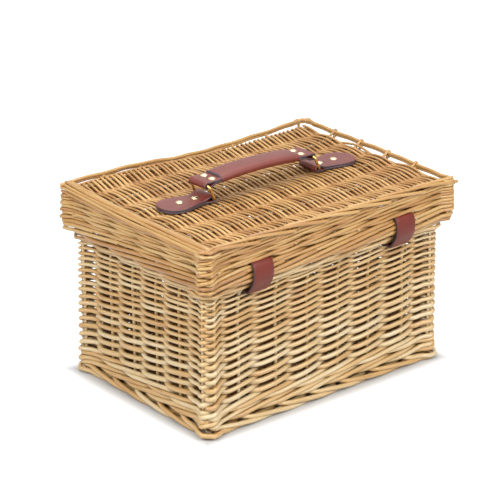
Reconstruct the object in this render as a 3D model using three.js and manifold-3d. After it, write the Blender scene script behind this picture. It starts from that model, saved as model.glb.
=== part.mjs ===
// A wicker picnic basket: woven walls on upright stakes, a skirted lid on two leather hinge loops,
// a leather handle on two wire rings, and two buckled straps at the front.
// Millimetres, +Z up, origin under the middle of the foot. The hinges are at +Y, the buckles at -Y.
// Left (-X) and right (+X) are as seen from the front.
import * as THREE from "three";
import { mergeVertices } from "three/addons/utils/BufferGeometryUtils.js";
import Module from "manifold-3d";

const wasm = await Module();
wasm.setup();

// Clearances
const SEAT_GAP = 0.3; // between two pieces that rest on each other or lie side by side
const PIVOT_GAP = 0.25; // round a bar in its leather fold
const SLIT_GAP = 0.5; // round a leather strap in its slit
const THROUGH = 80; // length of a tool that cuts right through any piece
const WELD_TOLERANCE = 1e-4;

// Wall of the basket, measured outside
const WALL_LENGTH = 334;
const WALL_DEPTH = 233;
const WALL_THICKNESS = 14;
const WALL_CORNER = 10;
const FOOT_HEIGHT = 11;
const FOOT_OVERHANG = 3.5;
const FOOT_WIDTH = 22;
const LOWER_WALE_HEIGHT = 21;
const LOWER_WALE_OVERHANG = 1.5;
const SIDE_WEAVE_HEIGHT = 116;
const RIM_WALE_HEIGHT = 11;
const RIM_HEIGHT = 11.5;
const RIM_OVERHANG = 6;
const RIM_WIDTH = 18;
const BORDER_CHAMFER = 2.5;
const SMALLEST_CORNER = 3;

// Lid, measured outside, each overhang over the piece below it
const LID_CORNER = 12;
const LID_BORDER_HEIGHT = 12;
const LID_BORDER_OVERHANG = 5;
const LID_BORDER_WIDTH = 16;
const LID_SKIRT_HEIGHT = 25;
const LID_SKIRT_OVERHANG = 0.5;
const LID_SKIRT_THICKNESS = 12;
const LID_TOP_HEIGHT = 13;
const LID_TOP_OVERHANG = 2.5;
const LID_TOP_WIDTH = 10.5;

// Rods
const STAKE_DIAMETER = 5;
const STAKE_CORNER_INSET = 13.5;
const SHORT_SIDE_STAKES = 6;
const INNER_STAKES = 4;
const STICK_DIAMETER = 4.5;
const STICK_COUNT = 6;
const STICK_EDGE_INSET = 5;
const PANEL_THICKNESS = 9;
const ROD_SIDES = 4;

// Weave: it swells over each stake or stick and is one rod thick half way to the next
const WEAVE_ROD = 4.6;
const PANEL_ROD = 2.6;
const SWELL_SHARE = 0.1; // of a gap, at either end of it, that keeps the full thickness
const HOLLOW_SHARE = 0.12; // of a gap, in its middle, that is one rod thick
const WEAVE_ROWS = 14;
const ROW_NARROWING = 0.243; // how much taller than the mean the lowest row is, and lower the highest
const ROW_GROOVE_SHARE = 0.45; // of the two rows' mean height
const ROW_GROOVE_WALL = 0.3; // left between a groove and a stake's channel

// The two sides, with the sign of their x
const SIDES = [
  ["left", -1],
  ["right", 1],
];

// Rivets
const RIVET_HEAD_RADIUS = 4.2;
const RIVET_HEAD_HEIGHT = 1.6;
const RIVET_SHANK_RADIUS = 1.6;
const RIVET_BURR_RADIUS = 3.4;
const RIVET_BURR_HEIGHT = 1.2;
const RIVET_DOME = 0.75; // share of the head's radius and height where its dome bends
const RIVET_SIDES = 8;

// Hinge loops, in the gap between two stakes of the back
const STRAP_X = 102.5;
const STRAP_TO_INNER_STAKE = 35;
const HINGE_WIDTH = 27;
const HINGE_THICKNESS = 2.5;
const HINGE_BULGE = 3.2;
const HINGE_SLIT_RISE = 8.2;
const HINGE_SLIT_DROP = 2.6;
const HINGE_STEPS = 28;
const HINGE_RIVET_LEG = 8.5; // half way along the loop's leg that climbs the inside
const HINGE_HOLE_LENGTH = 15; // through that leg only

// Handle, its rings and tabs
const LEATHER_PLY = 2.3;
const WIRE = 3;
const WIRE_SIDES = 8;
const FOLD_SIDES = 12;
const RING_CLEAR_WIDTH = 31;
const RING_SPAN = 18.5;
const RING_LEAN_DEGREES = 25;
const TAB_LENGTH = 62;
const TAB_RING_WIDTH = 30;
const TAB_WAIST_WIDTH = 27;
const TAB_WAIST_AT = 13;
const TAB_WIDEST = 40;
const TAB_WIDEST_AT = 40;
const TAB_RIVETS_AT = [14, 35.5];
const TAB_ROUNDNESS = 0.55; // pull of the outline's curves, as on a circle
const HANDLE_RISE = 5;
const HANDLE_STRAP_WIDTH = 29;
const HANDLE_CORE_WIDTH = 22;
const HANDLE_RIVET_AT = 12;
const HANDLE_RIVET_SPACING = 14;
const GRIP_LENGTH = 112;
const HANDLE_END_LENGTH = 20; // from the grip to the ring's bar
const GRIP_THICKNESS = 10.5;
const GRIP_ROUNDING = 2.4;
const GRIP_LINING_GAP = 0.3;
const ARCH_STEPS = 8;

// Front closures
const CHAPE_WIDTH = 22;
const CHAPE_HEIGHT = 28;
const CHAPE_RIVET_AT = 19;
const BUCKLE_CLEAR_WIDTH = 23.5;
const BUCKLE_SPAN = 30;
const PRONG_WIDTH = 3.5;
const PRONG_THICKNESS = 2;
const PRONG_OVERLAP = 2.5;
const PRONG_EYE_WALL = 1.3;
const PRONG_SLOT_HEIGHT = 10;
const STRAP_WIDTH = 20;
const STRAP_THICKNESS = 3;
const STRAP_TOP_BELOW_WEAVE = 2;
const STRAP_ANCHOR_HEIGHT = 28;
const STRAP_RIVET_BELOW_TOP = 10;
const CLOSURE_RIVET_SPACING = 11;
const STRAP_TAIL_LENGTH = 72;
const STRAP_HOLES = 4;
const STRAP_HOLE_PITCH = 11;
const STRAP_HOLE_RADIUS = 1.9;
const STRAP_HOLE_FROM_TIP = 16;

// Finishes
const WILLOW = { color: 0xc7964e, roughness: 0.55, metalness: 0 };
const PALE_WILLOW = { color: 0xd3a863, roughness: 0.55, metalness: 0 };
const LEATHER = { color: 0x7c3226, roughness: 0.5, metalness: 0 };
const BRASS = { color: 0xc9a14a, roughness: 0.3, metalness: 1 };

// Heights of the stack, from the floor up
const lowerWaleZ = FOOT_HEIGHT + SEAT_GAP;
const sideWeaveZ = lowerWaleZ + LOWER_WALE_HEIGHT + SEAT_GAP;
const rimWaleZ = sideWeaveZ + SIDE_WEAVE_HEIGHT + SEAT_GAP;
const rimZ = rimWaleZ + RIM_WALE_HEIGHT + SEAT_GAP;
const lidBorderZ = rimZ + RIM_HEIGHT + SEAT_GAP;
const lidSkirtZ = lidBorderZ + LID_BORDER_HEIGHT + SEAT_GAP;
const lidTopZ = lidSkirtZ + LID_SKIRT_HEIGHT + SEAT_GAP;
const panelTopZ = lidTopZ + PANEL_THICKNESS;

// Outward offsets of the lid's bands from the wall
const lidBorderOut = RIM_OVERHANG + LID_BORDER_OVERHANG;
const lidSkirtOut = lidBorderOut + LID_SKIRT_OVERHANG;
const lidTopOut = lidBorderOut + LID_TOP_OVERHANG;
const backWallY = WALL_DEPTH / 2;
const frontWallY = -backWallY;
const frontSkirtY = frontWallY - lidSkirtOut;

const basket = new THREE.Group();

function radians(degrees) {
  return THREE.MathUtils.degToRad(degrees);
}

function addPiece(name, geometry, finish) {
  const mesh = new THREE.Mesh(geometry, new THREE.MeshStandardMaterial(finish));
  mesh.name = name;
  basket.add(mesh);
  return mesh;
}

function solidFrom(geometry) {
  const bare = new THREE.BufferGeometry();
  bare.setAttribute("position", geometry.getAttribute("position").clone());
  if (geometry.index) {
    bare.setIndex(geometry.index.clone());
  }
  const merged = mergeVertices(bare, WELD_TOLERANCE);
  const mesh = new wasm.Mesh({
    numProp: 3,
    vertProperties: new Float32Array(merged.attributes.position.array),
    triVerts: new Uint32Array(merged.index.array),
  });
  return new wasm.Manifold(mesh);
}

function geometryFrom(solid) {
  const mesh = solid.getMesh();
  const geometry = new THREE.BufferGeometry();
  geometry.setAttribute("position", new THREE.BufferAttribute(mesh.vertProperties, 3));
  geometry.setIndex(new THREE.BufferAttribute(mesh.triVerts, 1));
  geometry.computeVertexNormals();
  return geometry;
}

function cut(body, tools) {
  const left = tools.reduce((solid, tool) => solid.subtract(solidFrom(tool)), solidFrom(body));
  return geometryFrom(left);
}

function join(pieces) {
  const [first, ...others] = pieces;
  const whole = others.reduce((solid, piece) => solid.add(solidFrom(piece)), solidFrom(first));
  return geometryFrom(whole);
}

// A round bar of the given length, centred on the origin along one axis.
function bar(radius, length, axis, sides = RIVET_SIDES) {
  const geometry = new THREE.CylinderGeometry(radius, radius, length, sides);
  if (axis === "x") {
    geometry.rotateZ(Math.PI / 2);
  }
  if (axis === "z") {
    geometry.rotateX(Math.PI / 2);
  }
  return geometry;
}

// Bar whose flats, not its corners, clear a bar of the given radius.
function bore(radius, length, axis, sides = RIVET_SIDES) {
  return bar(radius / Math.cos(Math.PI / sides), length, axis, sides);
}

function roundedRect(length, depth, radius, Kind = THREE.Shape) {
  const x = length / 2 - radius;
  const y = depth / 2 - radius;
  const outline = new Kind();
  outline.absarc(x, -y, radius, -Math.PI / 2, 0);
  outline.absarc(x, y, radius, 0, Math.PI / 2);
  outline.absarc(-x, y, radius, Math.PI / 2, Math.PI);
  outline.absarc(-x, -y, radius, Math.PI, 1.5 * Math.PI);
  return outline;
}

// A flat slab with rounded corners standing on height z.
function slab(length, depth, radius, height, z) {
  const shape = roundedRect(length, depth, radius);
  const geometry = new THREE.ExtrudeGeometry(shape, { depth: height, bevelEnabled: false, curveSegments: 4 });
  return geometry.translate(0, 0, z);
}

// Corner radius of an edge that stands "out" beyond the wall: the lid has sharper corners than the basket.
function cornerRadius(out) {
  return out < lidBorderOut ? WALL_CORNER + out : LID_CORNER + out - lidBorderOut;
}

function innerCorner(out, width) {
  return Math.max(cornerRadius(out) - width, SMALLEST_CORNER);
}

// Settings for an extrusion of the given height whose edges are chamfered inwards.
function chamfered(height, chamfer) {
  return {
    depth: height - 2 * chamfer,
    bevelEnabled: chamfer > 0,
    bevelSize: chamfer,
    bevelThickness: chamfer,
    bevelOffset: -chamfer,
    bevelSegments: 1,
  };
}

// A band round the basket: its outside stands "out" beyond the wall, and it is "width" thick.
function band(out, width, height, z, chamfer) {
  const length = WALL_LENGTH + 2 * out;
  const depth = WALL_DEPTH + 2 * out;
  const shape = roundedRect(length, depth, cornerRadius(out));
  const hole = roundedRect(length - 2 * width, depth - 2 * width, innerCorner(out, width), THREE.Path);
  shape.holes.push(hole);
  const settings = { ...chamfered(height, chamfer), curveSegments: 3 };
  return new THREE.ExtrudeGeometry(shape, settings).translate(0, 0, z + chamfer);
}

// Evenly spaced places from -end to end.
function spread(end, count) {
  return Array.from({ length: count }, (_, i) => -end + (2 * end * i) / (count - 1));
}

const besideStrapX = STRAP_X + HINGE_WIDTH / 2 + STAKE_DIAMETER / 2 + 2 * SLIT_GAP;

// Places along a long side, in order, of the stakes of a wall that stands "out" beyond the basket's own wall.
function longSideStakes(out) {
  const endX = WALL_LENGTH / 2 + out - STAKE_CORNER_INSET;
  const inner = spread(STRAP_X - STRAP_TO_INNER_STAKE, INNER_STAKES);
  return [-endX, -besideStrapX, ...inner, besideStrapX, endX];
}

function shortSideStakes(out) {
  return spread(WALL_DEPTH / 2 + out - STAKE_CORNER_INSET, SHORT_SIDE_STAKES);
}

// Places of all its upright stakes, in the middle of the wall.
function stakePlaces(out, thickness) {
  const middleX = WALL_LENGTH / 2 + out - thickness / 2;
  const middleY = WALL_DEPTH / 2 + out - thickness / 2;
  const places = [];
  for (const x of longSideStakes(out)) {
    places.push([x, -middleY], [x, middleY]);
  }
  for (const y of shortSideStakes(out)) {
    places.push([-middleX, y], [middleX, y]);
  }
  return places;
}

function stakes(places, radius, fromZ, toZ) {
  const middleZ = (fromZ + toZ) / 2;
  return places.map(([x, y]) => bar(radius, toZ - fromZ, "z", ROD_SIDES).translate(x, y, middleZ));
}

function channels(places, fromZ, height) {
  const radius = STAKE_DIAMETER / 2 + SEAT_GAP / Math.cos(Math.PI / ROD_SIDES);
  return stakes(places, radius, fromZ - 1, fromZ + height + 1);
}

function stickPlaces(depth) {
  return spread(depth / 2 - STICK_EDGE_INSET, STICK_COUNT);
}

// Outline of a trough in each gap between two neighbouring places, cut down from "face" to "bottom" half way.
function troughs(places, face, bottom) {
  return places.slice(1).map((to, i) => {
    const middle = (places[i] + to) / 2;
    const top = (to - places[i]) * (0.5 - SWELL_SHARE);
    const floor = ((to - places[i]) * HOLLOW_SHARE) / 2;
    return polygon([
      [middle - top, face],
      [middle - floor, bottom],
      [middle + floor, bottom],
      [middle + top, face],
      [middle + top, face + 1],
      [middle - top, face + 1],
    ]);
  });
}

// A rivet along +Z with its head's seat at z = 0 and its burr's seat at z = -grip.
function rivetGeometry(grip) {
  const headSeat = SEAT_GAP;
  const burrSeat = -grip - SEAT_GAP;
  const profile = [
    [0, burrSeat - RIVET_BURR_HEIGHT],
    [RIVET_BURR_RADIUS, burrSeat - RIVET_BURR_HEIGHT],
    [RIVET_BURR_RADIUS, burrSeat],
    [RIVET_SHANK_RADIUS, burrSeat],
    [RIVET_SHANK_RADIUS, headSeat],
    [RIVET_HEAD_RADIUS, headSeat],
    [RIVET_DOME * RIVET_HEAD_RADIUS, headSeat + RIVET_DOME * RIVET_HEAD_HEIGHT],
    [0, headSeat + RIVET_HEAD_HEIGHT],
  ];
  const points = profile.map(([r, z]) => new THREE.Vector2(r, z));
  return new THREE.LatheGeometry(points, RIVET_SIDES).rotateX(Math.PI / 2);
}

function rivetHole(axis) {
  return bore(RIVET_SHANK_RADIUS + SEAT_GAP, THROUGH, axis);
}

// Extrudes an outline drawn in (x, z), centred on y = 0.
function extrudeAcross(shape, options) {
  const settings = { bevelEnabled: false, curveSegments: 6, ...options };
  return new THREE.ExtrudeGeometry(shape, settings).translate(0, 0, -settings.depth / 2).rotateX(Math.PI / 2);
}

// Extrudes an outline drawn in (y, z), centred on x = 0.
function extrudeAlong(shape, length) {
  return extrudeAcross(shape, { depth: length }).rotateZ(Math.PI / 2);
}

function polygon(points) {
  return new THREE.Shape(points.map(([a, b]) => new THREE.Vector2(a, b)));
}

// A wire frame with an octagonal section, standing in the XZ plane with its upper bar's middle at the origin
// or, with "below" false, its lower bar's.
function wireFrame(clearWidth, span, below) {
  const chamfer = WIRE * (1 - Math.SQRT1_2);
  const outline = roundedRect(clearWidth + 2 * WIRE, span + WIRE, WIRE);
  outline.holes.push(roundedRect(clearWidth, span - WIRE, WIRE / 3, THREE.Path));
  const frame = extrudeAcross(outline, { ...chamfered(WIRE, chamfer), curveSegments: 1 });
  return frame.translate(0, 0, below ? -span / 2 : span / 2);
}

const wireRadius = WIRE / 2 / Math.cos(Math.PI / WIRE_SIDES);
const foldBore = wireRadius + PIVOT_GAP;
const foldRadius = foldBore + LEATHER_PLY;

// Basket body

function buildBase() {
  const length = WALL_LENGTH - 2 * (WALL_THICKNESS + SEAT_GAP);
  const depth = WALL_DEPTH - 2 * (WALL_THICKNESS + SEAT_GAP);
  const corner = innerCorner(0, WALL_THICKNESS);
  buildPanel("base", length, depth, corner, lowerWaleZ, [], []);
}

// A woven panel that swells over its sticks, which lie in channels through it, and stays thick at the pads.
function buildPanel(name, length, depth, corner, z, pads, holes) {
  const middleZ = z + PANEL_THICKNESS / 2;
  const places = stickPlaces(depth);
  const tunnels = places.map((y) =>
    bar(STICK_DIAMETER / 2 + SEAT_GAP, length + 2, "x", ROD_SIDES).translate(0, y, middleZ),
  );
  const dips = troughs(places, PANEL_THICKNESS / 2, PANEL_ROD / 2).flatMap((outline) => {
    const upper = extrudeAlong(outline, length + 2);
    return [upper, upper.clone().rotateX(Math.PI)];
  });
  const swells = cut(
    slab(length, depth, corner, PANEL_THICKNESS, z),
    dips.map((dip) => dip.translate(0, 0, middleZ)),
  );
  addPiece(name + "_weave", cut(join([swells, ...pads]), [...tunnels, ...holes]), WILLOW);
  const stickLength = length - 2 * corner;
  const stick = bar(STICK_DIAMETER / 2, stickLength, "x", ROD_SIDES);
  places.forEach((y, i) => {
    addPiece(name + "_stick_" + (i + 1), stick.clone(), PALE_WILLOW).position.set(0, y, middleZ);
  });
}

// Troughs in both faces of two opposite sides of the wall. "face" is their distance from the middle.
function wallTroughs(places, face, turn) {
  const middle = face - WALL_THICKNESS / 2;
  const settings = { depth: SIDE_WEAVE_HEIGHT + 2, bevelEnabled: false };
  return troughs(places, face, middle + WEAVE_ROD / 2).flatMap((outline) => {
    const outer = new THREE.ExtrudeGeometry(outline, settings).translate(0, 0, sideWeaveZ - 1);
    const inner = outer.clone().translate(0, -middle, 0).rotateZ(Math.PI).translate(0, middle, 0);
    return [outer, inner].flatMap((tool) => [tool.clone().rotateZ(turn), tool.rotateZ(turn + Math.PI)]);
  });
}

// Grooves along the outside of each side, between each two rows of the weave and up to its outermost gaps.
function rowGrooves() {
  const mean = SIDE_WEAVE_HEIGHT / WEAVE_ROWS;
  const heights = spread(1, WEAVE_ROWS).map((share) => mean * (1 - ROW_NARROWING * share));
  const channel = STAKE_DIAMETER / 2 + SEAT_GAP / Math.cos(Math.PI / ROD_SIDES);
  const depth = WALL_THICKNESS / 2 - channel - ROW_GROOVE_WALL;
  const [long, short] = [longSideStakes(0), shortSideStakes(0)].map(([first, second]) => -first - second);
  let z = sideWeaveZ;
  return heights.slice(1).flatMap((height, i) => {
    z += heights[i];
    const groove = (ROW_GROOVE_SHARE * (height + heights[i])) / 2;
    return [-0.5, 0.5].flatMap((side) => [
      new THREE.BoxGeometry(long, 2 * depth, groove).translate(0, side * WALL_DEPTH, z),
      new THREE.BoxGeometry(2 * depth, short, groove).translate(side * WALL_LENGTH, 0, z),
    ]);
  });
}

// Where a front strap lies, the wall is as thick as at its stakes.
function strapPads() {
  const fromX = STRAP_X - STRAP_WIDTH / 2 - SEAT_GAP;
  const fromZ = strapBendZ - SEAT_GAP;
  const height = sideWeaveZ + SIDE_WEAVE_HEIGHT - fromZ;
  const pad = new THREE.BoxGeometry(besideStrapX - fromX, WALL_THICKNESS, height);
  pad.translate((fromX + besideStrapX) / 2, frontWallY + WALL_THICKNESS / 2, fromZ + height / 2);
  return [pad, pad.clone().translate(-fromX - besideStrapX, 0, 0)];
}

function sideWeaveGeometry(places) {
  const wall = band(0, WALL_THICKNESS, SIDE_WEAVE_HEIGHT, sideWeaveZ, 0);
  const relief = [
    ...wallTroughs(longSideStakes(0), WALL_DEPTH / 2, 0),
    ...wallTroughs(shortSideStakes(0), WALL_LENGTH / 2, Math.PI / 2),
    ...rowGrooves(),
  ];
  const holes = [...channels(places, sideWeaveZ, SIDE_WEAVE_HEIGHT), ...strapRivetHoles()];
  return cut(join([cut(wall, relief), ...strapPads()]), holes);
}

function buildWalls() {
  const places = stakePlaces(0, WALL_THICKNESS);
  const waleWidth = WALL_THICKNESS + LOWER_WALE_OVERHANG;
  const foot = band(FOOT_OVERHANG, FOOT_WIDTH, FOOT_HEIGHT, 0, BORDER_CHAMFER);
  const lowerWale = band(LOWER_WALE_OVERHANG, waleWidth, LOWER_WALE_HEIGHT, lowerWaleZ, 0);
  const rimWale = band(0, WALL_THICKNESS, RIM_WALE_HEIGHT, rimWaleZ, 0);
  const rim = band(RIM_OVERHANG, RIM_WIDTH, RIM_HEIGHT, rimZ, BORDER_CHAMFER);
  const rimTools = [...channels(places, rimWaleZ, RIM_WALE_HEIGHT), ...hingeSlits()];
  const uprights = stakes(places, STAKE_DIAMETER / 2, lowerWaleZ, rimZ + RIM_HEIGHT / 2);
  addPiece("foot_border", foot, WILLOW);
  addPiece("lower_wale", cut(lowerWale, channels(places, lowerWaleZ, LOWER_WALE_HEIGHT)), WILLOW);
  addPiece("side_weave", sideWeaveGeometry(places), WILLOW);
  addPiece("rim_wale", cut(rimWale, rimTools), WILLOW);
  addPiece("side_stakes_and_rim", join([rim, ...uprights]), PALE_WILLOW);
}

// Lid

function buildLid() {
  const places = stakePlaces(lidSkirtOut, LID_SKIRT_THICKNESS);
  const border = band(lidBorderOut, LID_BORDER_WIDTH, LID_BORDER_HEIGHT, lidBorderZ, BORDER_CHAMFER);
  const skirt = band(lidSkirtOut, LID_SKIRT_THICKNESS, LID_SKIRT_HEIGHT, lidSkirtZ, 0);
  const topBorder = band(lidTopOut, LID_TOP_WIDTH, LID_TOP_HEIGHT, lidTopZ, BORDER_CHAMFER);
  const skirtTopZ = lidSkirtZ + LID_SKIRT_HEIGHT;
  const uprights = stakes(places, STAKE_DIAMETER / 2, lidBorderZ + LID_BORDER_HEIGHT / 2, skirtTopZ);
  const skirtChannels = channels(places, lidSkirtZ, LID_SKIRT_HEIGHT);
  const skirtTools = [...skirtChannels, ...hingeSlits(), ...chapeRivetHoles()];
  addPiece("lid_stakes_and_border", join([border, ...uprights]), PALE_WILLOW);
  addPiece("lid_skirt", cut(skirt, skirtTools), WILLOW);
  addPiece("lid_top_border", topBorder, WILLOW);
  const inset = 2 * (LID_TOP_WIDTH + SEAT_GAP - lidTopOut);
  const corner = innerCorner(lidTopOut, LID_TOP_WIDTH);
  const depth = WALL_DEPTH - inset;
  buildPanel("lid", WALL_LENGTH - inset, depth, corner, lidTopZ, tabPads(depth), tabRivetHoles());
}

// Leather hinge loops

// Middle line of a loop in (y, z): out through the skirt, down over both borders, in through the wall
// under the rim, and up again inside.
function hingeLine() {
  const stand = HINGE_THICKNESS / 2 + 2 * SEAT_GAP;
  const rimOuter = backWallY + RIM_OVERHANG;
  const rimInner = rimOuter - RIM_WIDTH;
  const borderOuter = backWallY + lidBorderOut;
  const borderInner = borderOuter - LID_BORDER_WIDTH;
  const skirtOuter = backWallY + lidSkirtOut;
  const skirtInner = skirtOuter - LID_SKIRT_THICKNESS;
  const wallInner = backWallY - WALL_THICKNESS;
  const lidSlitZ = lidSkirtZ + HINGE_SLIT_RISE;
  const wallSlitZ = rimZ - HINGE_SLIT_DROP;
  const insideY = Math.min(rimInner, wallInner) - stand;
  const points = [
    [skirtInner, lidSlitZ],
    [skirtOuter, lidSlitZ],
    [skirtOuter + HINGE_BULGE, lidSkirtZ],
    [borderOuter + HINGE_BULGE, lidBorderZ + stand],
    [rimOuter + stand, rimZ + stand],
    [rimOuter - stand, wallSlitZ],
    [backWallY - stand, wallSlitZ],
    [wallInner, wallSlitZ],
    [insideY, wallSlitZ + stand],
    [insideY, lidBorderZ],
    [borderInner - 2 * stand, lidSkirtZ - stand],
  ];
  const corners = points.map(([y, z]) => new THREE.Vector3(y, z, 0));
  return new THREE.CatmullRomCurve3(corners, true, "centripetal");
}

// The loop as a solid of the given thickness and width.
function hingeLoop(thickness, width) {
  const line = hingeLine();
  const sides = [-thickness / 2, thickness / 2].map((offset) =>
    Array.from({ length: HINGE_STEPS }, (_, i) => {
      const at = line.getPoint(i / HINGE_STEPS);
      const along = line.getTangent(i / HINGE_STEPS);
      return new THREE.Vector2(at.x + along.y * offset, at.y - along.x * offset);
    }),
  );
  const areas = sides.map((points) => Math.abs(THREE.ShapeUtils.area(points)));
  const [inner, outer] = areas[0] < areas[1] ? sides : [sides[1], sides[0]];
  const shape = new THREE.Shape(outer.reverse());
  shape.holes.push(new THREE.Path(inner));
  return extrudeAlong(shape, width);
}

function hingeSlits() {
  const tool = hingeLoop(HINGE_THICKNESS + 2 * SLIT_GAP, HINGE_WIDTH + 2 * SLIT_GAP);
  return [-STRAP_X, STRAP_X].map((x) => tool.clone().translate(x, 0, 0));
}

function buildHinges() {
  const line = hingeLine();
  const rivetAt = line.getPoint(HINGE_RIVET_LEG / line.points.length);
  const hole = bore(RIVET_SHANK_RADIUS + SEAT_GAP, HINGE_HOLE_LENGTH, "y").translate(0, rivetAt.x, rivetAt.y);
  const loop = cut(hingeLoop(HINGE_THICKNESS, HINGE_WIDTH), [hole]);
  for (const [side, sign] of SIDES) {
    const x = sign * STRAP_X;
    addPiece("hinge_strap_" + side, loop.clone(), LEATHER).position.x = x;
    const rivet = addPiece("hinge_rivet_" + side, rivetGeometry(HINGE_THICKNESS), BRASS);
    rivet.position.set(x, rivetAt.x - HINGE_THICKNESS / 2, rivetAt.y);
    rivet.rotation.x = Math.PI / 2;
  }
}

// Handle: tabs on the lid, rings, strap and grip

const tabZ = panelTopZ + SEAT_GAP;
const tabThickness = 2 * LEATHER_PLY;
const ringPivotZ = tabZ + foldRadius;
const ringLean = radians(RING_LEAN_DEGREES);
const ringPivotX = GRIP_LENGTH / 2 + HANDLE_END_LENGTH;
const handleShift = RING_SPAN * Math.sin(ringLean);
const handleZ = ringPivotZ + RING_SPAN * Math.cos(ringLean);

function tabRivetHoles() {
  const hole = rivetHole("z").translate(0, 0, tabZ);
  return [-1, 1].flatMap((side) =>
    TAB_RIVETS_AT.map((at) => hole.clone().translate(side * (ringPivotX + at), 0, 0)),
  );
}

// Under each tab the panel is as thick as at its sticks, between the two middle ones.
function tabPads(panelDepth) {
  const middleSticks = stickPlaces(panelDepth).filter((y) => Math.abs(y) < TAB_WIDEST);
  const width = Math.max(...middleSticks) - Math.min(...middleSticks);
  const fromX = ringPivotX - foldRadius;
  const length = TAB_LENGTH + foldRadius;
  const pad = new THREE.BoxGeometry(length, width, PANEL_THICKNESS);
  pad.translate(fromX + length / 2, 0, lidTopZ + PANEL_THICKNESS / 2);
  return [pad, pad.clone().rotateZ(Math.PI)];
}

// One tab pointing along +X from its ring: two plies with a round outer end, folded round the ring's bar.
function tabGeometry() {
  const ring = TAB_RING_WIDTH / 2;
  const waist = TAB_WAIST_WIDTH / 2;
  const wide = TAB_WIDEST / 2;
  const bulge = (TAB_LENGTH - TAB_WIDEST_AT) * TAB_ROUNDNESS;
  const flank = wide * TAB_ROUNDNESS;
  const outline = new THREE.Shape();
  outline.moveTo(0, -ring);
  outline.quadraticCurveTo(TAB_WAIST_AT / 2, -waist, TAB_WAIST_AT, -waist);
  outline.bezierCurveTo(TAB_WAIST_AT + bulge, -waist, TAB_WIDEST_AT - bulge, -wide, TAB_WIDEST_AT, -wide);
  outline.bezierCurveTo(TAB_WIDEST_AT + bulge, -wide, TAB_LENGTH, -flank, TAB_LENGTH, 0);
  outline.bezierCurveTo(TAB_LENGTH, flank, TAB_WIDEST_AT + bulge, wide, TAB_WIDEST_AT, wide);
  outline.bezierCurveTo(TAB_WIDEST_AT - bulge, wide, TAB_WAIST_AT + bulge, waist, TAB_WAIST_AT, waist);
  outline.quadraticCurveTo(TAB_WAIST_AT / 2, waist, 0, ring);
  const settings = { depth: tabThickness, bevelEnabled: false, curveSegments: 4 };
  const plies = new THREE.ExtrudeGeometry(outline, settings);
  const fold = bar(foldRadius, TAB_RING_WIDTH, "y", FOLD_SIDES).translate(0, 0, foldRadius);
  const tunnel = bore(foldBore, THROUGH, "y", FOLD_SIDES).translate(0, 0, foldRadius);
  const holes = TAB_RIVETS_AT.map((at) => rivetHole("z").translate(at, 0, 0));
  return cut(join([plies, fold]), [tunnel, ...holes]);
}

function buildTabs() {
  const tab = tabGeometry();
  const rivet = rivetGeometry(tabThickness + SEAT_GAP + PANEL_THICKNESS);
  for (const [side, sign] of SIDES) {
    const piece = addPiece("handle_tab_" + side, tab.clone(), LEATHER);
    piece.position.set(sign * ringPivotX, 0, tabZ);
    piece.rotation.z = sign > 0 ? 0 : Math.PI;
    TAB_RIVETS_AT.forEach((at, i) => {
      const name = "tab_rivet_" + side + "_" + (i + 1);
      addPiece(name, rivet.clone(), BRASS).position.set(sign * (ringPivotX + at), 0, tabZ + tabThickness);
    });
  }
}

function buildRings() {
  const ring = wireFrame(RING_CLEAR_WIDTH, RING_SPAN, false).rotateZ(Math.PI / 2);
  for (const [side, sign] of SIDES) {
    const piece = addPiece("handle_ring_" + side, ring.clone(), BRASS);
    piece.position.set(sign * ringPivotX, 0, ringPivotZ);
    piece.rotation.y = ringLean;
  }
}

// Height of the handle's arch over the line between its two ring bars.
function archHeight(x) {
  return HANDLE_RISE * (1 - (x / ringPivotX) ** 2);
}

function archSlope(x) {
  return (-2 * HANDLE_RISE * x) / ringPivotX ** 2;
}

// A strip of the arch from one x to another, of the given thickness, as an outline in (x, z).
function archStrip(fromX, toX, thickness) {
  const upper = [];
  const lower = [];
  for (let i = 0; i <= ARCH_STEPS; i++) {
    const x = fromX + ((toX - fromX) * i) / ARCH_STEPS;
    upper.push([x, archHeight(x) + thickness / 2]);
    lower.push([x, archHeight(x) - thickness / 2]);
  }
  return polygon([...lower, ...upper.reverse()]);
}

function handleStrapGeometry() {
  const thickness = 2 * LEATHER_PLY;
  const shoulderX = GRIP_LENGTH / 2 + SEAT_GAP;
  const core = extrudeAcross(archStrip(-ringPivotX, ringPivotX, thickness), { depth: HANDLE_CORE_WIDTH });
  const pieces = [core];
  const holes = [];
  for (const sign of [-1, 1]) {
    const [fromX, toX] = sign > 0 ? [shoulderX, ringPivotX] : [-ringPivotX, -shoulderX];
    pieces.push(extrudeAcross(archStrip(fromX, toX, thickness), { depth: HANDLE_STRAP_WIDTH }));
    pieces.push(bar(foldRadius, HANDLE_STRAP_WIDTH, "y", FOLD_SIDES).translate(sign * ringPivotX, 0, 0));
    holes.push(bore(foldBore, THROUGH, "y", FOLD_SIDES).translate(sign * ringPivotX, 0, 0));
    for (const y of [-HANDLE_RIVET_SPACING / 2, HANDLE_RIVET_SPACING / 2]) {
      const x = sign * (ringPivotX - HANDLE_RIVET_AT);
      const hole = rivetHole("z").rotateY(-Math.atan(archSlope(x)));
      holes.push(hole.translate(x, y, archHeight(x)));
    }
  }
  return cut(join(pieces), holes);
}

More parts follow.
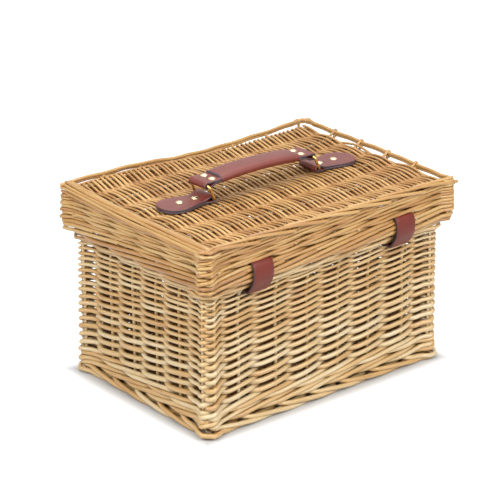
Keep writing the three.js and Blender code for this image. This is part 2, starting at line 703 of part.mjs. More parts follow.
function gripGeometry() {
  const thickness = GRIP_THICKNESS - 2 * GRIP_ROUNDING;
  const half = GRIP_LENGTH / 2 - GRIP_ROUNDING;
  const sleeve = extrudeAcross(archStrip(-half, half, thickness), {
    depth: HANDLE_STRAP_WIDTH - 2 * GRIP_ROUNDING,
    bevelEnabled: true,
    bevelSize: GRIP_ROUNDING,
    bevelThickness: GRIP_ROUNDING,
    bevelSegments: 2,
  });
  const coreThickness = 2 * (LEATHER_PLY + GRIP_LINING_GAP);
  const tunnel = archStrip(-ringPivotX, ringPivotX, coreThickness);
  return cut(sleeve, [extrudeAcross(tunnel, { depth: HANDLE_CORE_WIDTH + 2 * GRIP_LINING_GAP })]);
}

function buildHandle() {
  const thickness = 2 * LEATHER_PLY;
  const rivet = rivetGeometry(thickness);
  addPiece("handle_strap", handleStrapGeometry(), LEATHER).position.set(handleShift, 0, handleZ);
  addPiece("handle_grip", gripGeometry(), LEATHER).position.set(handleShift, 0, handleZ);
  for (const [side, sign] of SIDES) {
    for (const [place, y] of [["front", -HANDLE_RIVET_SPACING / 2], ["back", HANDLE_RIVET_SPACING / 2]]) {
      const x = sign * (ringPivotX - HANDLE_RIVET_AT);
      const tilt = -Math.atan(archSlope(x));
      const piece = addPiece("handle_rivet_" + side + "_" + place, rivet.clone(), BRASS);
      const top = new THREE.Vector3(0, 0, thickness / 2).applyAxisAngle(new THREE.Vector3(0, 1, 0), tilt);
      piece.position.set(x + handleShift + top.x, y, handleZ + archHeight(x) + top.z);
      piece.rotation.y = tilt;
    }
  }
}

// Front closures: chape, buckle and prong on the lid, strap on the basket

const chapeThickness = 2 * LEATHER_PLY;
const chapeBackY = frontSkirtY - SEAT_GAP;
const buckleY = chapeBackY - foldRadius;
const chapeTopZ = lidSkirtZ + LID_SKIRT_HEIGHT - SEAT_GAP;
const buckleZ = chapeTopZ - CHAPE_HEIGHT;
const chapeRivetZ = buckleZ + CHAPE_RIVET_AT;
const strapTopZ = sideWeaveZ + SIDE_WEAVE_HEIGHT - STRAP_TOP_BELOW_WEAVE;
const strapRivetZ = strapTopZ - STRAP_RIVET_BELOW_TOP;
const strapBendZ = strapTopZ - STRAP_ANCHOR_HEIGHT;
const strapBackY = frontWallY - SEAT_GAP;
const closureRivets = [-CLOSURE_RIVET_SPACING / 2, CLOSURE_RIVET_SPACING / 2];

function closureRivetHoles(y, z) {
  return [-STRAP_X, STRAP_X].flatMap((x) =>
    closureRivets.map((beside) => rivetHole("y").translate(x + beside, y, z)),
  );
}

function chapeRivetHoles() {
  return closureRivetHoles(frontSkirtY, chapeRivetZ);
}

function strapRivetHoles() {
  return closureRivetHoles(frontWallY, strapRivetZ);
}

// Chape: two plies down the skirt, folded round the buckle's bar, with a slot for the prong's eye.
function chapeGeometry() {
  const height = chapeTopZ - buckleZ;
  const plate = new THREE.BoxGeometry(CHAPE_WIDTH, chapeThickness, height);
  plate.translate(0, foldRadius - chapeThickness / 2, height / 2);
  const fold = bar(foldRadius, CHAPE_WIDTH, "x", FOLD_SIDES);
  const tunnel = bore(foldBore, THROUGH, "x", FOLD_SIDES);
  const slotHeight = PRONG_SLOT_HEIGHT + foldRadius + SEAT_GAP;
  const slot = new THREE.BoxGeometry(PRONG_WIDTH + 4 * SEAT_GAP, THROUGH, slotHeight);
  slot.translate(0, 0, PRONG_SLOT_HEIGHT - slotHeight / 2);
  const holes = closureRivets.map((x) => rivetHole("y").translate(x, 0, CHAPE_RIVET_AT));
  return cut(join([plate, fold]), [tunnel, slot, ...holes]);
}

// Prong: an eye on the buckle's upper bar and a shaft that lies across its lower bar.
function prongGeometry() {
  const eyeRadius = foldBore + PRONG_EYE_WALL;
  const backFace = -WIRE / 2 - SEAT_GAP;
  const tipZ = -BUCKLE_SPAN - PRONG_OVERLAP;
  const shaft = new THREE.BoxGeometry(PRONG_WIDTH, PRONG_THICKNESS, -tipZ);
  shaft.translate(0, backFace - PRONG_THICKNESS / 2, tipZ / 2);
  const eye = bar(eyeRadius, PRONG_WIDTH, "x", FOLD_SIDES);
  const tunnel = bore(foldBore, THROUGH, "x", FOLD_SIDES);
  return cut(join([shaft, eye]), [tunnel]);
}

function strapTailGeometry() {
  const half = STRAP_WIDTH / 2;
  const point = STRAP_TAIL_LENGTH - half;
  const outline = new THREE.Shape();
  outline.moveTo(half, 0);
  outline.lineTo(-half, 0);
  outline.lineTo(-half, -point);
  outline.absarc(0, -point, half, Math.PI, 2 * Math.PI);
  const holes = Array.from({ length: STRAP_HOLES }, (_, i) =>
    bar(STRAP_HOLE_RADIUS, THROUGH, "y").translate(
      0,
      0,
      -STRAP_TAIL_LENGTH + STRAP_HOLE_FROM_TIP + i * STRAP_HOLE_PITCH,
    ),
  );
  return cut(extrudeAcross(outline, { depth: STRAP_THICKNESS }), holes);
}

function buildClosures() {
  const chape = chapeGeometry();
  const buckle = wireFrame(BUCKLE_CLEAR_WIDTH, BUCKLE_SPAN, true);
  const prong = prongGeometry();
  const anchorBox = new THREE.BoxGeometry(STRAP_WIDTH, STRAP_THICKNESS, STRAP_ANCHOR_HEIGHT);
  const anchorHoles = closureRivets.map((x) =>
    rivetHole("y").translate(x, 0, STRAP_ANCHOR_HEIGHT / 2 - STRAP_RIVET_BELOW_TOP),
  );
  const anchor = cut(anchorBox, anchorHoles);
  const tail = strapTailGeometry();
  const strapY = strapBackY - STRAP_THICKNESS / 2;
  const chapeRivet = rivetGeometry(chapeThickness + SEAT_GAP + LID_SKIRT_THICKNESS);
  const strapRivet = rivetGeometry(STRAP_THICKNESS + SEAT_GAP + WALL_THICKNESS);
  for (const [side, sign] of SIDES) {
    const x = sign * STRAP_X;
    addPiece("buckle_chape_" + side, chape.clone(), LEATHER).position.set(x, buckleY, buckleZ);
    addPiece("buckle_frame_" + side, buckle.clone(), BRASS).position.set(x, buckleY, buckleZ);
    addPiece("buckle_prong_" + side, prong.clone(), BRASS).position.set(x, buckleY, buckleZ);
    const anchorZ = strapBendZ + STRAP_ANCHOR_HEIGHT / 2;
    addPiece("strap_anchor_" + side, anchor.clone(), LEATHER).position.set(x, strapY, anchorZ);
    addPiece("strap_tail_" + side, tail.clone(), LEATHER).position.set(x, strapY, strapBendZ - SEAT_GAP);
    closureRivets.forEach((beside, i) => {
      const upper = addPiece("chape_rivet_" + side + "_" + (i + 1), chapeRivet.clone(), BRASS);
      upper.position.set(x + beside, chapeBackY - chapeThickness, chapeRivetZ);
      upper.rotation.x = Math.PI / 2;
      const lower = addPiece("strap_rivet_" + side + "_" + (i + 1), strapRivet.clone(), BRASS);
      lower.position.set(x + beside, strapBackY - STRAP_THICKNESS, strapRivetZ);
      lower.rotation.x = Math.PI / 2;
    });
  }
}

buildBase();
buildWalls();
buildLid();
buildHinges();
buildTabs();
buildRings();
buildHandle();
buildClosures();

export default basket;
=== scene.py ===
"""Looks of a wicker picnic basket: each willow rod, leather strap and brass fitting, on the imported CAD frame.

Lengths are millimetres until a mesh is made. +X is right as seen from the front, +Y the hinge side, +Z up.
"""

import math

import bpy
import numpy as np
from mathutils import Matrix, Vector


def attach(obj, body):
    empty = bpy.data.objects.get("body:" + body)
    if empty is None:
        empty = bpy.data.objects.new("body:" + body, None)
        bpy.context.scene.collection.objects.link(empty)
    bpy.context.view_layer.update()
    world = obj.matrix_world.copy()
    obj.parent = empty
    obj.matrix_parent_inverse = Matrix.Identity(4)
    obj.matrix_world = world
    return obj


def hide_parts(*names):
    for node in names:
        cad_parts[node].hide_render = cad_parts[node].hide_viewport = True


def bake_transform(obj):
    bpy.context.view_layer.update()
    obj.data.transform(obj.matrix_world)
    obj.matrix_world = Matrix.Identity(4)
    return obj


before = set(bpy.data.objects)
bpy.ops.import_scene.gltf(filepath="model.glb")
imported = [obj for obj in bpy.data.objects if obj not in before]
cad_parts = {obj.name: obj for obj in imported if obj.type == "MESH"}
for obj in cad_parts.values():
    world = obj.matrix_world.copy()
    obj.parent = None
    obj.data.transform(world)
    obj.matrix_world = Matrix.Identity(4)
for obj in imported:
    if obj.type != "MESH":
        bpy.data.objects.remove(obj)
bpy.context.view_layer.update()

MM = 0.001
random = np.random.default_rng(seed=23)

# Woven walls: each middle line's half length and half depth, and its stakes
CORNER_CUT = 3
CORNER_FADE = 6
CORNER_REACH = 12
CORNER_PUSH, HEM_PUSH = 6.5, 4
MITRE = math.tan(math.pi / 8)
STAKE_RADIUS = 2
STICK_RADIUS = 1.9
WALL_X, WALL_Y = 160, 109.5
WALL_LONG_STAKES = (22.5, 67.5, 119.5, 155.5)
WALL_SHORT_STAKES = (20.6, 61.8, 105)
LID_X, LID_Y = 172.5, 122
LID_LONG_STAKES = (22.5, 67.5, 119.5, 168)
LID_SHORT_STAKES = (22.9, 68.7, 117.5)
POST_SPACING = 45
# Numbers of three corner posts of the lid, counted from the fourth, at the back on the right
BACK_LEFT, FRONT_LEFT, FRONT_RIGHT = 7, 12, 19

# Rods
ROD_SIDES = 8
STEPS_PER_STAKE = 8
STEP = 4
ROD_TAIL = 0.4
SEED_SHIFT = 1000
# Painted shade in the weave: the distance from a weave's middle over which it changes, its share on faces that
# look along the weave, and how fast it grows on faces that look back at the middle
COVER_DEPTH, COVER_LEVEL, COVER_GAIN = 3, 0.15, 1.4
STAKE_GIVE = 0.6
HEAD_LEAD = 0.35
BOW = 0.7
BUTT, TIP = 1.08, 0.92
# Least and greatest thickness of the rods, as shares of their radius
ROD_SIZES, PAIRING_SIZES = (0.94, 1.06), (0.93, 1.07)
HINGE_SIDE_SIZES, WEAVER_SIZES = (0.9, 1.1), (0.86, 1.12)
# How many stakes each rod of a row runs past
PAIRING_RUNS = (8, 10, 10)
WALE_RUNS = ((9, 12, 9), (12, 15), (15, 12))

# Heights
LOWER_WALE_Z = (16.6, 27.2)
LOWER_WALE_RADIUS = 2.75
WEAVE_Z, WEAVE_HEIGHT = 32.6, 116
WEAVE_ROWS, ROW_NARROWING = 14, 0.243
ROD_SHARE = 0.295
RIM_WALE_Z, RIM_WALE_PITCH = (151.7, 157.2), 5.5
WALL_STAKE_Z, LID_STAKE_Z = (12, 161), (178, 208)
FOOT_RADIUS, RIM_RADIUS, HEM_RADIUS, LAID_RADIUS = 2.8, 2.15, 2.35, 1.9
SKIRT_ROWS = ((187.6, 2.1), (196.2, 2.0), (203.2, 1.7), (208.6, 1.5))
TOP_WALE_Z, TOP_WALE_RADIUS = 212.1, 1.35
LID_PANEL_Z, BASE_PANEL_Z = 214.1, 15.8
PANEL_STICKS = 6

# Leather
STRAP_X = 102.5
HINGE_WIDTH, HINGE_THICKNESS = 27, 2.5
LID_SLIT_Z, WALL_SLIT_Z = 192.5, 157.6
PLY = 2.3
SHOWN_PLY = 0.99 * PLY
FOLD_BORE = 1.87
FOLD_MIDDLE = FOLD_BORE + PLY / 2
FOLD_OUTER = FOLD_BORE + PLY
TAB_Z = 218.9
RING_X, RING_Z = 76, 223.07
RING_SPAN, RING_LEAN = 18.5, math.radians(25)
HANDLE_X = RING_SPAN * math.sin(RING_LEAN)
HANDLE_Z = RING_Z + RING_SPAN * math.cos(RING_LEAN)
HANDLE_RISE = 5
GRIP_HALF = 56
GRIP_WIDTH, GRIP_HEIGHT = 29, 10.4
GRIP_SIDES, GRIP_POWER = 32, 2 / 3.2
HANDLE_WIDTH, HANDLE_WAIST = 29, 22
WIRE_RADIUS, WIRE_CORNER, WIRE_SIDES = 1.5, 3.2, 14
BUCKLE_Y, BUCKLE_Z = -132.47, 181.0
STRAP_BACK_Y, STRAP_THICKNESS = -116.8, 3
STRAP_TOP_Z, STRAP_BEND_Z, STRAP_ROUND_Z, STRAP_TIP_Z = 146.6, 118.45, 56.3, 46.3
STRAP_WIDTH, STRAP_ROUND = 20, 10
RIVET_ASIDE, RIVET_SIDES, HOLE_SIDES = 5.5, 28, 20
SIDES = (("left", -1), ("right", 1))


# Curves


def smooth(at, keys, values):
    """Cubic through the values at the keys, with each key's slope taken from its neighbours."""
    keys = np.asarray(keys, float)
    values = np.asarray(values, float)
    slopes = np.gradient(values, keys)
    i = np.clip(np.searchsorted(keys, at) - 1, 0, len(keys) - 2)
    span = keys[i + 1] - keys[i]
    t = (at - keys[i]) / span
    rise = values[i + 1] - values[i]
    start = t * (1 - t) ** 2 * slopes[i] * span
    end = t * t * (t - 1) * slopes[i + 1] * span
    return values[i] + rise * t * t * (3 - 2 * t) + start + end


def smooth_loop(at, period, keys, values):
    """The same through values that repeat after the period."""
    around = np.add.outer((-period, 0, period), keys).ravel()
    return smooth(np.mod(at, period), around, np.tile(values, 3))


def lengths_along(points):
    """Distance of each point from the first one along the line."""
    steps = np.linalg.norm(np.diff(points, axis=0), axis=1)
    return np.concatenate([[0], np.cumsum(steps)])


def smooth_line(points, step, closed=False):
    """Points at about the given step on a smooth line through the given points."""
    points = np.array([*points, points[0]] if closed else points, float)
    reach = lengths_along(points)
    count = max(3, int(round(reach[-1] / step)))
    at = np.linspace(0, reach[-1], count, endpoint=not closed)
    columns = points.T
    if closed:
        return np.stack([smooth_loop(at, reach[-1], reach[:-1], column[:-1]) for column in columns], axis=1)
    return np.stack([smooth(at, reach, column) for column in columns], axis=1)


def circle(sides):
    """Cosines and sines at even steps round a circle."""
    angle = np.linspace(0, 2 * math.pi, sides, endpoint=False)
    return np.cos(angle), np.sin(angle)


def tangents_of(path, closed):
    """Unit tangent at each point of a line."""
    if closed:
        ahead = np.roll(path, -1, axis=0) - np.roll(path, 1, axis=0)
    else:
        ahead = np.gradient(path, axis=0)
    return ahead / np.linalg.norm(ahead, axis=1, keepdims=True)


def carried_normals(tangents):
    """Normals carried along a line without twist."""
    normals = np.empty_like(tangents)
    seed = np.array([0.0, 0.0, 1.0]) if abs(tangents[0][2]) < 0.9 else np.array([1.0, 0.0, 0.0])
    normal = np.cross(tangents[0], seed)
    for i, tangent in enumerate(tangents):
        normal = normal - tangent * normal.dot(tangent)
        normal = normal / math.sqrt(normal.dot(normal))
        normals[i] = normal
    return normals


def painted_shade_share(facing, out):
    """Share of painted shade on a face that looks back at the middle of its weave, where the weave lies in
    shade.
    """
    return np.clip(COVER_LEVEL - COVER_GAIN * facing * np.clip(out / COVER_DEPTH, -1, 1), 0, 1)


class Ring:
    """Middle line of a woven wall round the basket, with its stakes in order along it.

    Each corner is cut straight across between its two stakes, and stands out a little from the sides.
    """

    SAMPLES = 4000

    def __init__(self, half_x, half_y, stakes, push=CORNER_PUSH):
        corner = np.array([
            (half_x, half_y - CORNER_CUT - CORNER_FADE, 1, 0),
            (half_x, half_y - CORNER_CUT, 1, MITRE),
            (half_x - CORNER_CUT, half_y, MITRE, 1),
            (half_x - CORNER_CUT - CORNER_FADE, half_y, 0, 1),
        ])
        back = corner[::-1]
        keys = np.vstack([corner, back * (-1, 1, -1, 1), -corner, back * (1, -1, 1, -1), corner[:1]])
        reach = lengths_along(keys[:, :2])
        self.length = reach[-1]
        self.s = np.linspace(0, self.length, self.SAMPLES)
        self.columns = [np.interp(self.s, reach, column) for column in keys.T]
        middles = (reach[1::4] + reach[2::4]) / 2
        away = np.abs(self.s[:, None] - np.append(middles, middles[0] + self.length)).min(axis=1)
        self.columns.append(push * np.cos(math.pi / 2 * np.minimum(away / CORNER_REACH, 1)) ** 2)
        self.stops = np.sort([self.nearest(*stake) for stake in stakes])
        self.count = len(self.stops)

    def nearest(self, x, y):
        return self.s[np.argmin(np.hypot(self.columns[0] - x, self.columns[1] - y))]

    def cover(self, points, middles):
        """How far points on rods with these middles face into the wall, as their share of painted shade: 1
        straight in, 0 away.
        """
        beyond = np.abs(middles[:, :2]) - np.max(self.columns[:2], axis=1)
        across = np.arange(len(points)), np.argmax(beyond, axis=1)
        facing = np.abs(points[across]) - np.abs(middles[across])
        return painted_shade_share(facing / np.linalg.norm(points - middles, axis=1), beyond[across])

    def path(self, k, out, z):
        """Points at stake number k (any fraction), so far out from the middle line, at height z."""
        turns = np.arange(-1, 3)
        stops = np.concatenate([self.stops + turn * self.length for turn in turns])
        numbers = np.arange(-self.count, self.count * (len(turns) - 1))
        s = np.mod(np.interp(k, numbers, stops), self.length)
        x, y, normal_x, normal_y, push = (np.interp(s, self.s, column) for column in self.columns)
        x = x + normal_x * (out + push)
        y = y + normal_y * (out + push)
        return np.stack([x, y, np.broadcast_to(z, x.shape)], axis=1)


def wall_stakes(half_x, half_y, long_side, short_side):
    """Places of the stakes round a wall, from one quarter's places."""
    both = (-1, 1)
    places = [(sign * x, side * half_y) for x in long_side for sign in both for side in both]
    return places + [(side * half_x, sign * y) for y in short_side for sign in both for side in both]


def rings_round(half_x, half_y, long_side, short_side):
    """A wall's ring with all its stakes, one with a single post per corner, and that with a hem's corners."""
    stakes = wall_stakes(half_x, half_y, long_side, short_side)
    corners = [(x, y) for x in (-half_x, half_x) for y in (-half_y, half_y)]
    posts = wall_stakes(half_x, half_y, long_side[:-1], short_side[:-1]) + corners
    return Ring(half_x, half_y, stakes), Ring(half_x, half_y, posts), Ring(half_x, half_y, posts, HEM_PUSH)


# Meshes


def make_piece(name, points, faces, materials, marks=0, caps=(), flat_caps=True):
    """A smooth mesh object from millimetre points. Marks number its faces' materials, caps have the last."""
    mesh = bpy.data.meshes.new(name)
    mesh.from_pydata((np.asarray(points) * MM).tolist(), [], [*faces, *caps])
    for material in materials:
        mesh.materials.append(material)
    numbers = np.full(len(faces) + len(caps), len(materials) - 1, np.int32)
    numbers[:len(faces)] = marks
    is_cap = np.arange(len(numbers)) >= len(faces)
    mesh.polygons.foreach_set("material_index", numbers)
    mesh.polygons.foreach_set("use_smooth", ~(is_cap & flat_caps))
    mesh.update()
    piece = bpy.data.objects.new(name, mesh)
    bpy.context.scene.collection.objects.link(piece)
    return piece


def dress(piece, body, slot, *nodes):
    """The piece rides on the body and stands for the nodes."""
    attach(piece, body)
    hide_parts(*nodes)
    return piece


def ring_faces(rings, sides, first, closed):
    """Quads between successive rings of points, as an array of corner numbers."""
    row = np.arange(rings if closed else rings - 1)[:, None] * sides
    column = np.arange(sides)[None, :]
    beside = (column + 1) % sides
    ahead = (row + sides) % (rings * sides)
    corners = np.stack([row + column, row + beside, ahead + beside, ahead + column], axis=-1)
    return corners.reshape(-1, 4) + first


def end_caps(rings, sides, first=0):
    """The first and the last ring of points as faces that look outwards."""
    last = first + (rings - 1) * sides
    return [list(range(first + sides - 1, first - 1, -1)), list(range(last, last + sides))]


def swept(name, rows, materials, closed=False, edge_rows=(), edge_columns=(), flat_caps=False):
    """A piece through rows of points. Its ends and its edge faces have the last of the materials."""
    sides = len(rows[0])
    faces = ring_faces(len(rows), sides, 0, closed).tolist()
    row, column = np.divmod(np.arange(len(faces)), sides)
    is_edge = np.isin(row, edge_rows) | np.isin(column, edge_columns)
    caps = [] if closed else end_caps(len(rows), sides)
    marks = (len(materials) - 1) * is_edge
    return make_piece(name, np.concatenate(rows), faces, materials, marks, caps, flat_caps)


def mark_points(piece, name, kind, key, values):
    """Keeps values at the piece's points, for its material."""
    marks = piece.data.attributes.new(name, kind, "POINT")
    marks.data.foreach_set(key, values.astype(np.float32).ravel())


class Rods:
    """Round rods gathered into one mesh, whose points know their rod's seed and their place on it."""

    END_BEVEL = 0.82

    def __init__(self):
        self.rods = []
        self.caps = []
        self.count = 0

    def add(self, path, radius, sides=ROD_SIDES, taper=False):
        """A rod along the path with its ends cut flat. With a taper it is thicker at its butt."""
        path = np.asarray(path, float)
        tangents = tangents_of(path, False)
        normals = carried_normals(tangents)
        binormals = np.cross(tangents, normals)
        radii = np.broadcast_to(radius, len(path)).astype(float)
        if taper:
            ends = (BUTT, TIP) if random.random() < 0.5 else (TIP, BUTT)
            radii *= np.linspace(*ends, len(path))
        bevel = radii[[0, -1]] * (1 - self.END_BEVEL)
        path = np.vstack([path[0] - tangents[0] * bevel[0], path, path[-1] + tangents[-1] * bevel[1]])
        normals, binormals = (np.vstack([line[0], line, line[-1]]) for line in (normals, binormals))
        radii = np.concatenate([radii[:1] * self.END_BEVEL, radii, radii[-1:] * self.END_BEVEL])[:, None]
        cosine, sine = circle(sides)
        around = cosine[:, None] * normals[:, None] + sine[:, None] * binormals[:, None]
        points = (path[:, None] + around * radii[..., None]).reshape(-1, 3)
        seed = random.random()
        along = lengths_along(path)[:, None] + SEED_SHIFT * seed
        space = np.stack(np.broadcast_arrays(along, radii * cosine, radii * sine), axis=-1).reshape(-1, 3)
        faces = ring_faces(len(path), sides, self.count, False)
        self.rods.append((points, np.repeat(path, sides, axis=0), space, np.full(len(points), seed), faces))
        self.caps += end_caps(len(path), sides, self.count)
        self.count += len(path) * sides

    def piece(self, node, material, body, slot, cover=None, ending="_rods"):
        """The rods as one dressed piece with sawn ends. Cover gives each point's share of painted shade."""
        points, middles, space, seeds, faces = (np.concatenate(column) for column in zip(*self.rods))
        piece = make_piece(node + ending, points, faces.tolist(), [material, CUT_END], caps=self.caps)
        if cover:
            mark_points(piece, "rod_painted_shade", "FLOAT", "value", cover(points, middles))
        mark_points(piece, "rod_seed", "FLOAT", "value", seeds)
        mark_points(piece, "rod_space", "FLOAT_VECTOR", "vector", space)
        dress(piece, body, slot, node)


# Materials


class Nodes:
    """A node tree, with short ways to add to it."""

    def __init__(self, tree):
        self.tree = tree

    def node(self, kind, inputs=None, **settings):
        """A node with the given settings, whose inputs are values or other nodes' outputs."""
        node = self.tree.nodes.new(kind)
        for setting, value in settings.items():
            setattr(node, setting, value)
        for key, value in (inputs or {}).items():
            if isinstance(value, bpy.types.NodeSocket):
                self.tree.links.new(value, node.inputs[key])
            else:
                node.inputs[key].default_value = value
        return node

    def math(self, operation, first, second=0.0):
        return self.node("ShaderNodeMath", {0: first, 1: second}, operation=operation).outputs[0]

    def noise(self, vector, scale, detail=3.0, roughness=0.5):
        """Noise at one scale, or at a scale for each axis."""
        if isinstance(scale, tuple):
            vector = self.node("ShaderNodeMapping", {"Vector": vector, "Scale": scale}).outputs[0]
            scale = 1.0
        inputs = {"Vector": vector, "Scale": scale, "Detail": detail, "Roughness": roughness}
        return self.node("ShaderNodeTexNoise", inputs).outputs["Fac"]

    def place(self):
        return self.node("ShaderNodeTexCoord").outputs["Object"]

    def attribute(self, name, output="Fac"):
        return self.node("ShaderNodeAttribute", attribute_name=name).outputs[output]

    def ramp(self, factor, *stops):
        """Colour ramp through (place, colour) stops."""
        node = self.node("ShaderNodeValToRGB", {"Fac": factor})
        elements = node.color_ramp.elements
        while len(elements) < len(stops):
            elements.new(0.5)
        for element, (place, color) in zip(elements, stops):
            element.position = place
            element.color = (*color, 1)
        return node.outputs["Color"]

    def mix(self, factor, first, second):
        """The first colour with the second one over it, by the factor."""
        inputs = {0: factor, 6: first, 7: (*second, 1)}
        return self.node("ShaderNodeMix", inputs, data_type="RGBA").outputs[2]

    def range(self, value, low, high):
        """The value from 0 to 1 spread over low to high."""
        return self.node("ShaderNodeMapRange", {"Value": value, "To Min": low, "To Max": high}).outputs[0]

    def seen(self):
        """1 on rays from the camera, off gloss and through glass, and 0 on all others."""
        rays = self.node("ShaderNodeLightPath").outputs
        direct = self.math("MAXIMUM", rays["Is Camera Ray"], rays["Is Glossy Ray"])
        return self.math("MAXIMUM", direct, rays["Is Transmission Ray"])


class Surface(Nodes):
    """A material built from nodes round its principled shader."""

    def __init__(self, name, values):
        self.material = bpy.data.materials.new(name)
        self.material.use_nodes = True
        super().__init__(self.material.node_tree)
        self.shader = self.tree.nodes["Principled BSDF"]
        for socket, value in values.items():
            self.shader.inputs[socket].default_value = value

    def bump(self, height, strength, distance):
        inputs = {"Height": height, "Strength": strength, "Distance": distance}
        self.link(self.node("ShaderNodeBump", inputs).outputs[0], "Normal")

    def link(self, output, socket):
        self.tree.links.new(output, self.shader.inputs[socket])


TONE_PLACES = (0.05, 0.4, 0.7, 1.0)
# Painted shade deep in the weave: its strongest share and its dark colour
PAINTED_SHADE, PAINTED_SHADE_COLOR = 0.95, (0.065, 0.021, 0.007)
KNOT_COLOR = (0.19, 0.075, 0.02)


def willow(name, tones, places=TONE_PLACES, coat=0.4):
    """Lacquered willow: tone by rod, streaks along it, a few knots, and painted shade deep in the weave, dark
    and without gloss.
    """
    surface = Surface(name, {"Coat Roughness": 0.22})
    space = surface.attribute("rod_space", "Vector")
    streak = surface.noise(space, (0.035, 0.9, 0.9), 4.0, 0.6)
    blotch = surface.noise(space, (0.022, 0.12, 0.12), 2.0)
    speck = surface.noise(space, (0.16, 0.35, 0.35), 2.0)
    by_rod = surface.range(surface.attribute("rod_seed"), 0.12, 0.62)
    tone = surface.math("ADD", by_rod, surface.range(blotch, -0.28, 0.28))
    tone = surface.math("ADD", tone, surface.range(streak, -0.2, 0.5))
    color = surface.ramp(tone, *zip(places, tones))
    knots = surface.ramp(speck, (0.66, (0, 0, 0)), (0.78, (0.6, 0.6, 0.6)))
    color = surface.mix(knots, color, KNOT_COLOR)
    # Painted shade: the rods darken and lose their coat and specular where they face into the weave
    cover = surface.attribute("rod_painted_shade")
    color = surface.mix(surface.range(cover, 0.0, PAINTED_SHADE), color, PAINTED_SHADE_COLOR)
    surface.link(color, "Base Color")
    surface.link(surface.range(cover, coat, 0.0), "Coat Weight")
    surface.link(surface.range(cover, 0.5, 0.0), "Specular IOR Level")
    surface.link(surface.range(streak, 0.3, 0.52), "Roughness")
    surface.bump(streak, 0.35, 0.0003)
    return surface.material


def cut_end():
    """The pale sawn end of a rod."""
    surface = Surface("rod_cut_end", {"Roughness": 0.7})
    grain = surface.noise(surface.place(), 900.0)
    surface.link(surface.ramp(grain, (0.3, (0.5, 0.34, 0.16)), (0.7, (0.78, 0.62, 0.38))), "Base Color")
    surface.bump(grain, 0.3, 0.0002)
    return surface.material


def leather(name, deep, light, coat=0.25, specular=0.5):
    """Smooth dyed leather: fine pebbled grain, cloudy dye and a waxed sheen."""
    surface = Surface(name, {"Coat Weight": coat, "Coat Roughness": 0.42, "Specular IOR Level": specular})
    place = surface.place()
    cloud = surface.noise(place, 45.0, 4.0, 0.6)
    crease = surface.noise(place, 260.0, 5.0, 0.65)
    inputs = {"Vector": place, "Scale": 1150.0}
    cells = surface.node("ShaderNodeTexVoronoi", inputs, feature="DISTANCE_TO_EDGE")
    pebble = surface.range(cells.outputs["Distance"], 0.0, 1.6)
    tone = surface.math("ADD", surface.range(cloud, 0.1, 0.75), surface.range(crease, -0.2, 0.3))
    surface.link(surface.ramp(tone, (0.15, deep), (0.85, light)), "Base Color")
    surface.link(surface.range(crease, 0.32, 0.6), "Roughness")
    height = surface.math("ADD", pebble, surface.math("MULTIPLY", crease, 0.7))
    surface.bump(height, 0.25, 0.00012)
    return surface.material


def edge_paint():
    """Dark burnished paint on the leather's cut edges."""
    surface = Surface("leather_edge", {"Coat Weight": 0.2, "Coat Roughness": 0.35})
    fibre = surface.noise(surface.place(), 700.0, 4.0, 0.7)
    tones = (0.3, (0.022, 0.018, 0.028)), (0.75, (0.075, 0.055, 0.07))
    surface.link(surface.ramp(fibre, *tones), "Base Color")
    surface.link(surface.range(fibre, 0.4, 0.7), "Roughness")
    surface.bump(fibre, 0.3, 0.0002)
    return surface.material


def brass(name, deep, light):
    """Polished brass with fine rubbing marks and a little tarnish."""
    surface = Surface(name, {"Metallic": 1.0})
    place = surface.place()
    tarnish = surface.noise(place, 160.0, 3.0, 0.6)
    marks = surface.noise(place, (400, 2600, 900), 2.0)
    surface.link(surface.ramp(tarnish, (0.25, deep), (0.6, light)), "Base Color")
    surface.link(surface.range(marks, 0.14, 0.36), "Roughness")
    surface.bump(marks, 0.06, 0.0001)
    return surface.material


WEAVE_TONES = ((0.7, 0.59, 0.4), (0.63, 0.45, 0.22), (0.54, 0.32, 0.115), (0.33, 0.16, 0.05))
PALE_TONES = ((0.78, 0.65, 0.42), (0.68, 0.5, 0.26), (0.56, 0.36, 0.14), (0.36, 0.18, 0.06))
PALE_PLACES = (0.05, 0.45, 0.75, 1.0)
LID_TONES = ((0.71, 0.46, 0.195), (0.59, 0.335, 0.12), (0.45, 0.225, 0.07), (0.27, 0.11, 0.03))
SKIRT_TONES = ((0.6, 0.42, 0.185), (0.51, 0.298, 0.096), (0.415, 0.203, 0.054), (0.25, 0.104, 0.026))
CUT_END = cut_end()
WEAVE = willow("willow_weave", WEAVE_TONES)
PALE = willow("willow_pale", PALE_TONES, PALE_PLACES)
LID_WEAVE = willow("willow_lid", LID_TONES, coat=0.15)
SKIRT = willow("willow_skirt", SKIRT_TONES)
LEATHER = leather("strap_leather", (0.1, 0.013, 0.008), (0.22, 0.036, 0.022))
HINGE_LEATHER = leather("hinge_leather", (0.09, 0.011, 0.006), (0.2, 0.03, 0.017), 0.08, 0.25)
GRIP_LEATHER = leather("grip_leather", (0.11, 0.015, 0.009), (0.23, 0.038, 0.023))
EDGE = edge_paint()
RING_BRASS = brass("ring_brass", (0.5, 0.3, 0.07), (0.85, 0.6, 0.22))
RIVET_BRASS = brass("rivet_brass", (0.72, 0.56, 0.27), (0.94, 0.82, 0.52))


# Weaving

wall, wall_posts, rim_posts = rings_round(WALL_X, WALL_Y, WALL_LONG_STAKES, WALL_SHORT_STAKES)
lid, lid_posts, hem_posts = rings_round(LID_X, LID_Y, LID_LONG_STAKES, LID_SHORT_STAKES)


def waver(ring, size):
    """A slow random rise and fall along one row."""
    waves = [(size * random.uniform(0.3, 1), m, random.uniform(0, 2 * math.pi)) for m in (2, 5, 9)]
    return lambda k: sum(a * np.sin(2 * math.pi * m * k / ring.count + shift) for a, m, shift in waves)


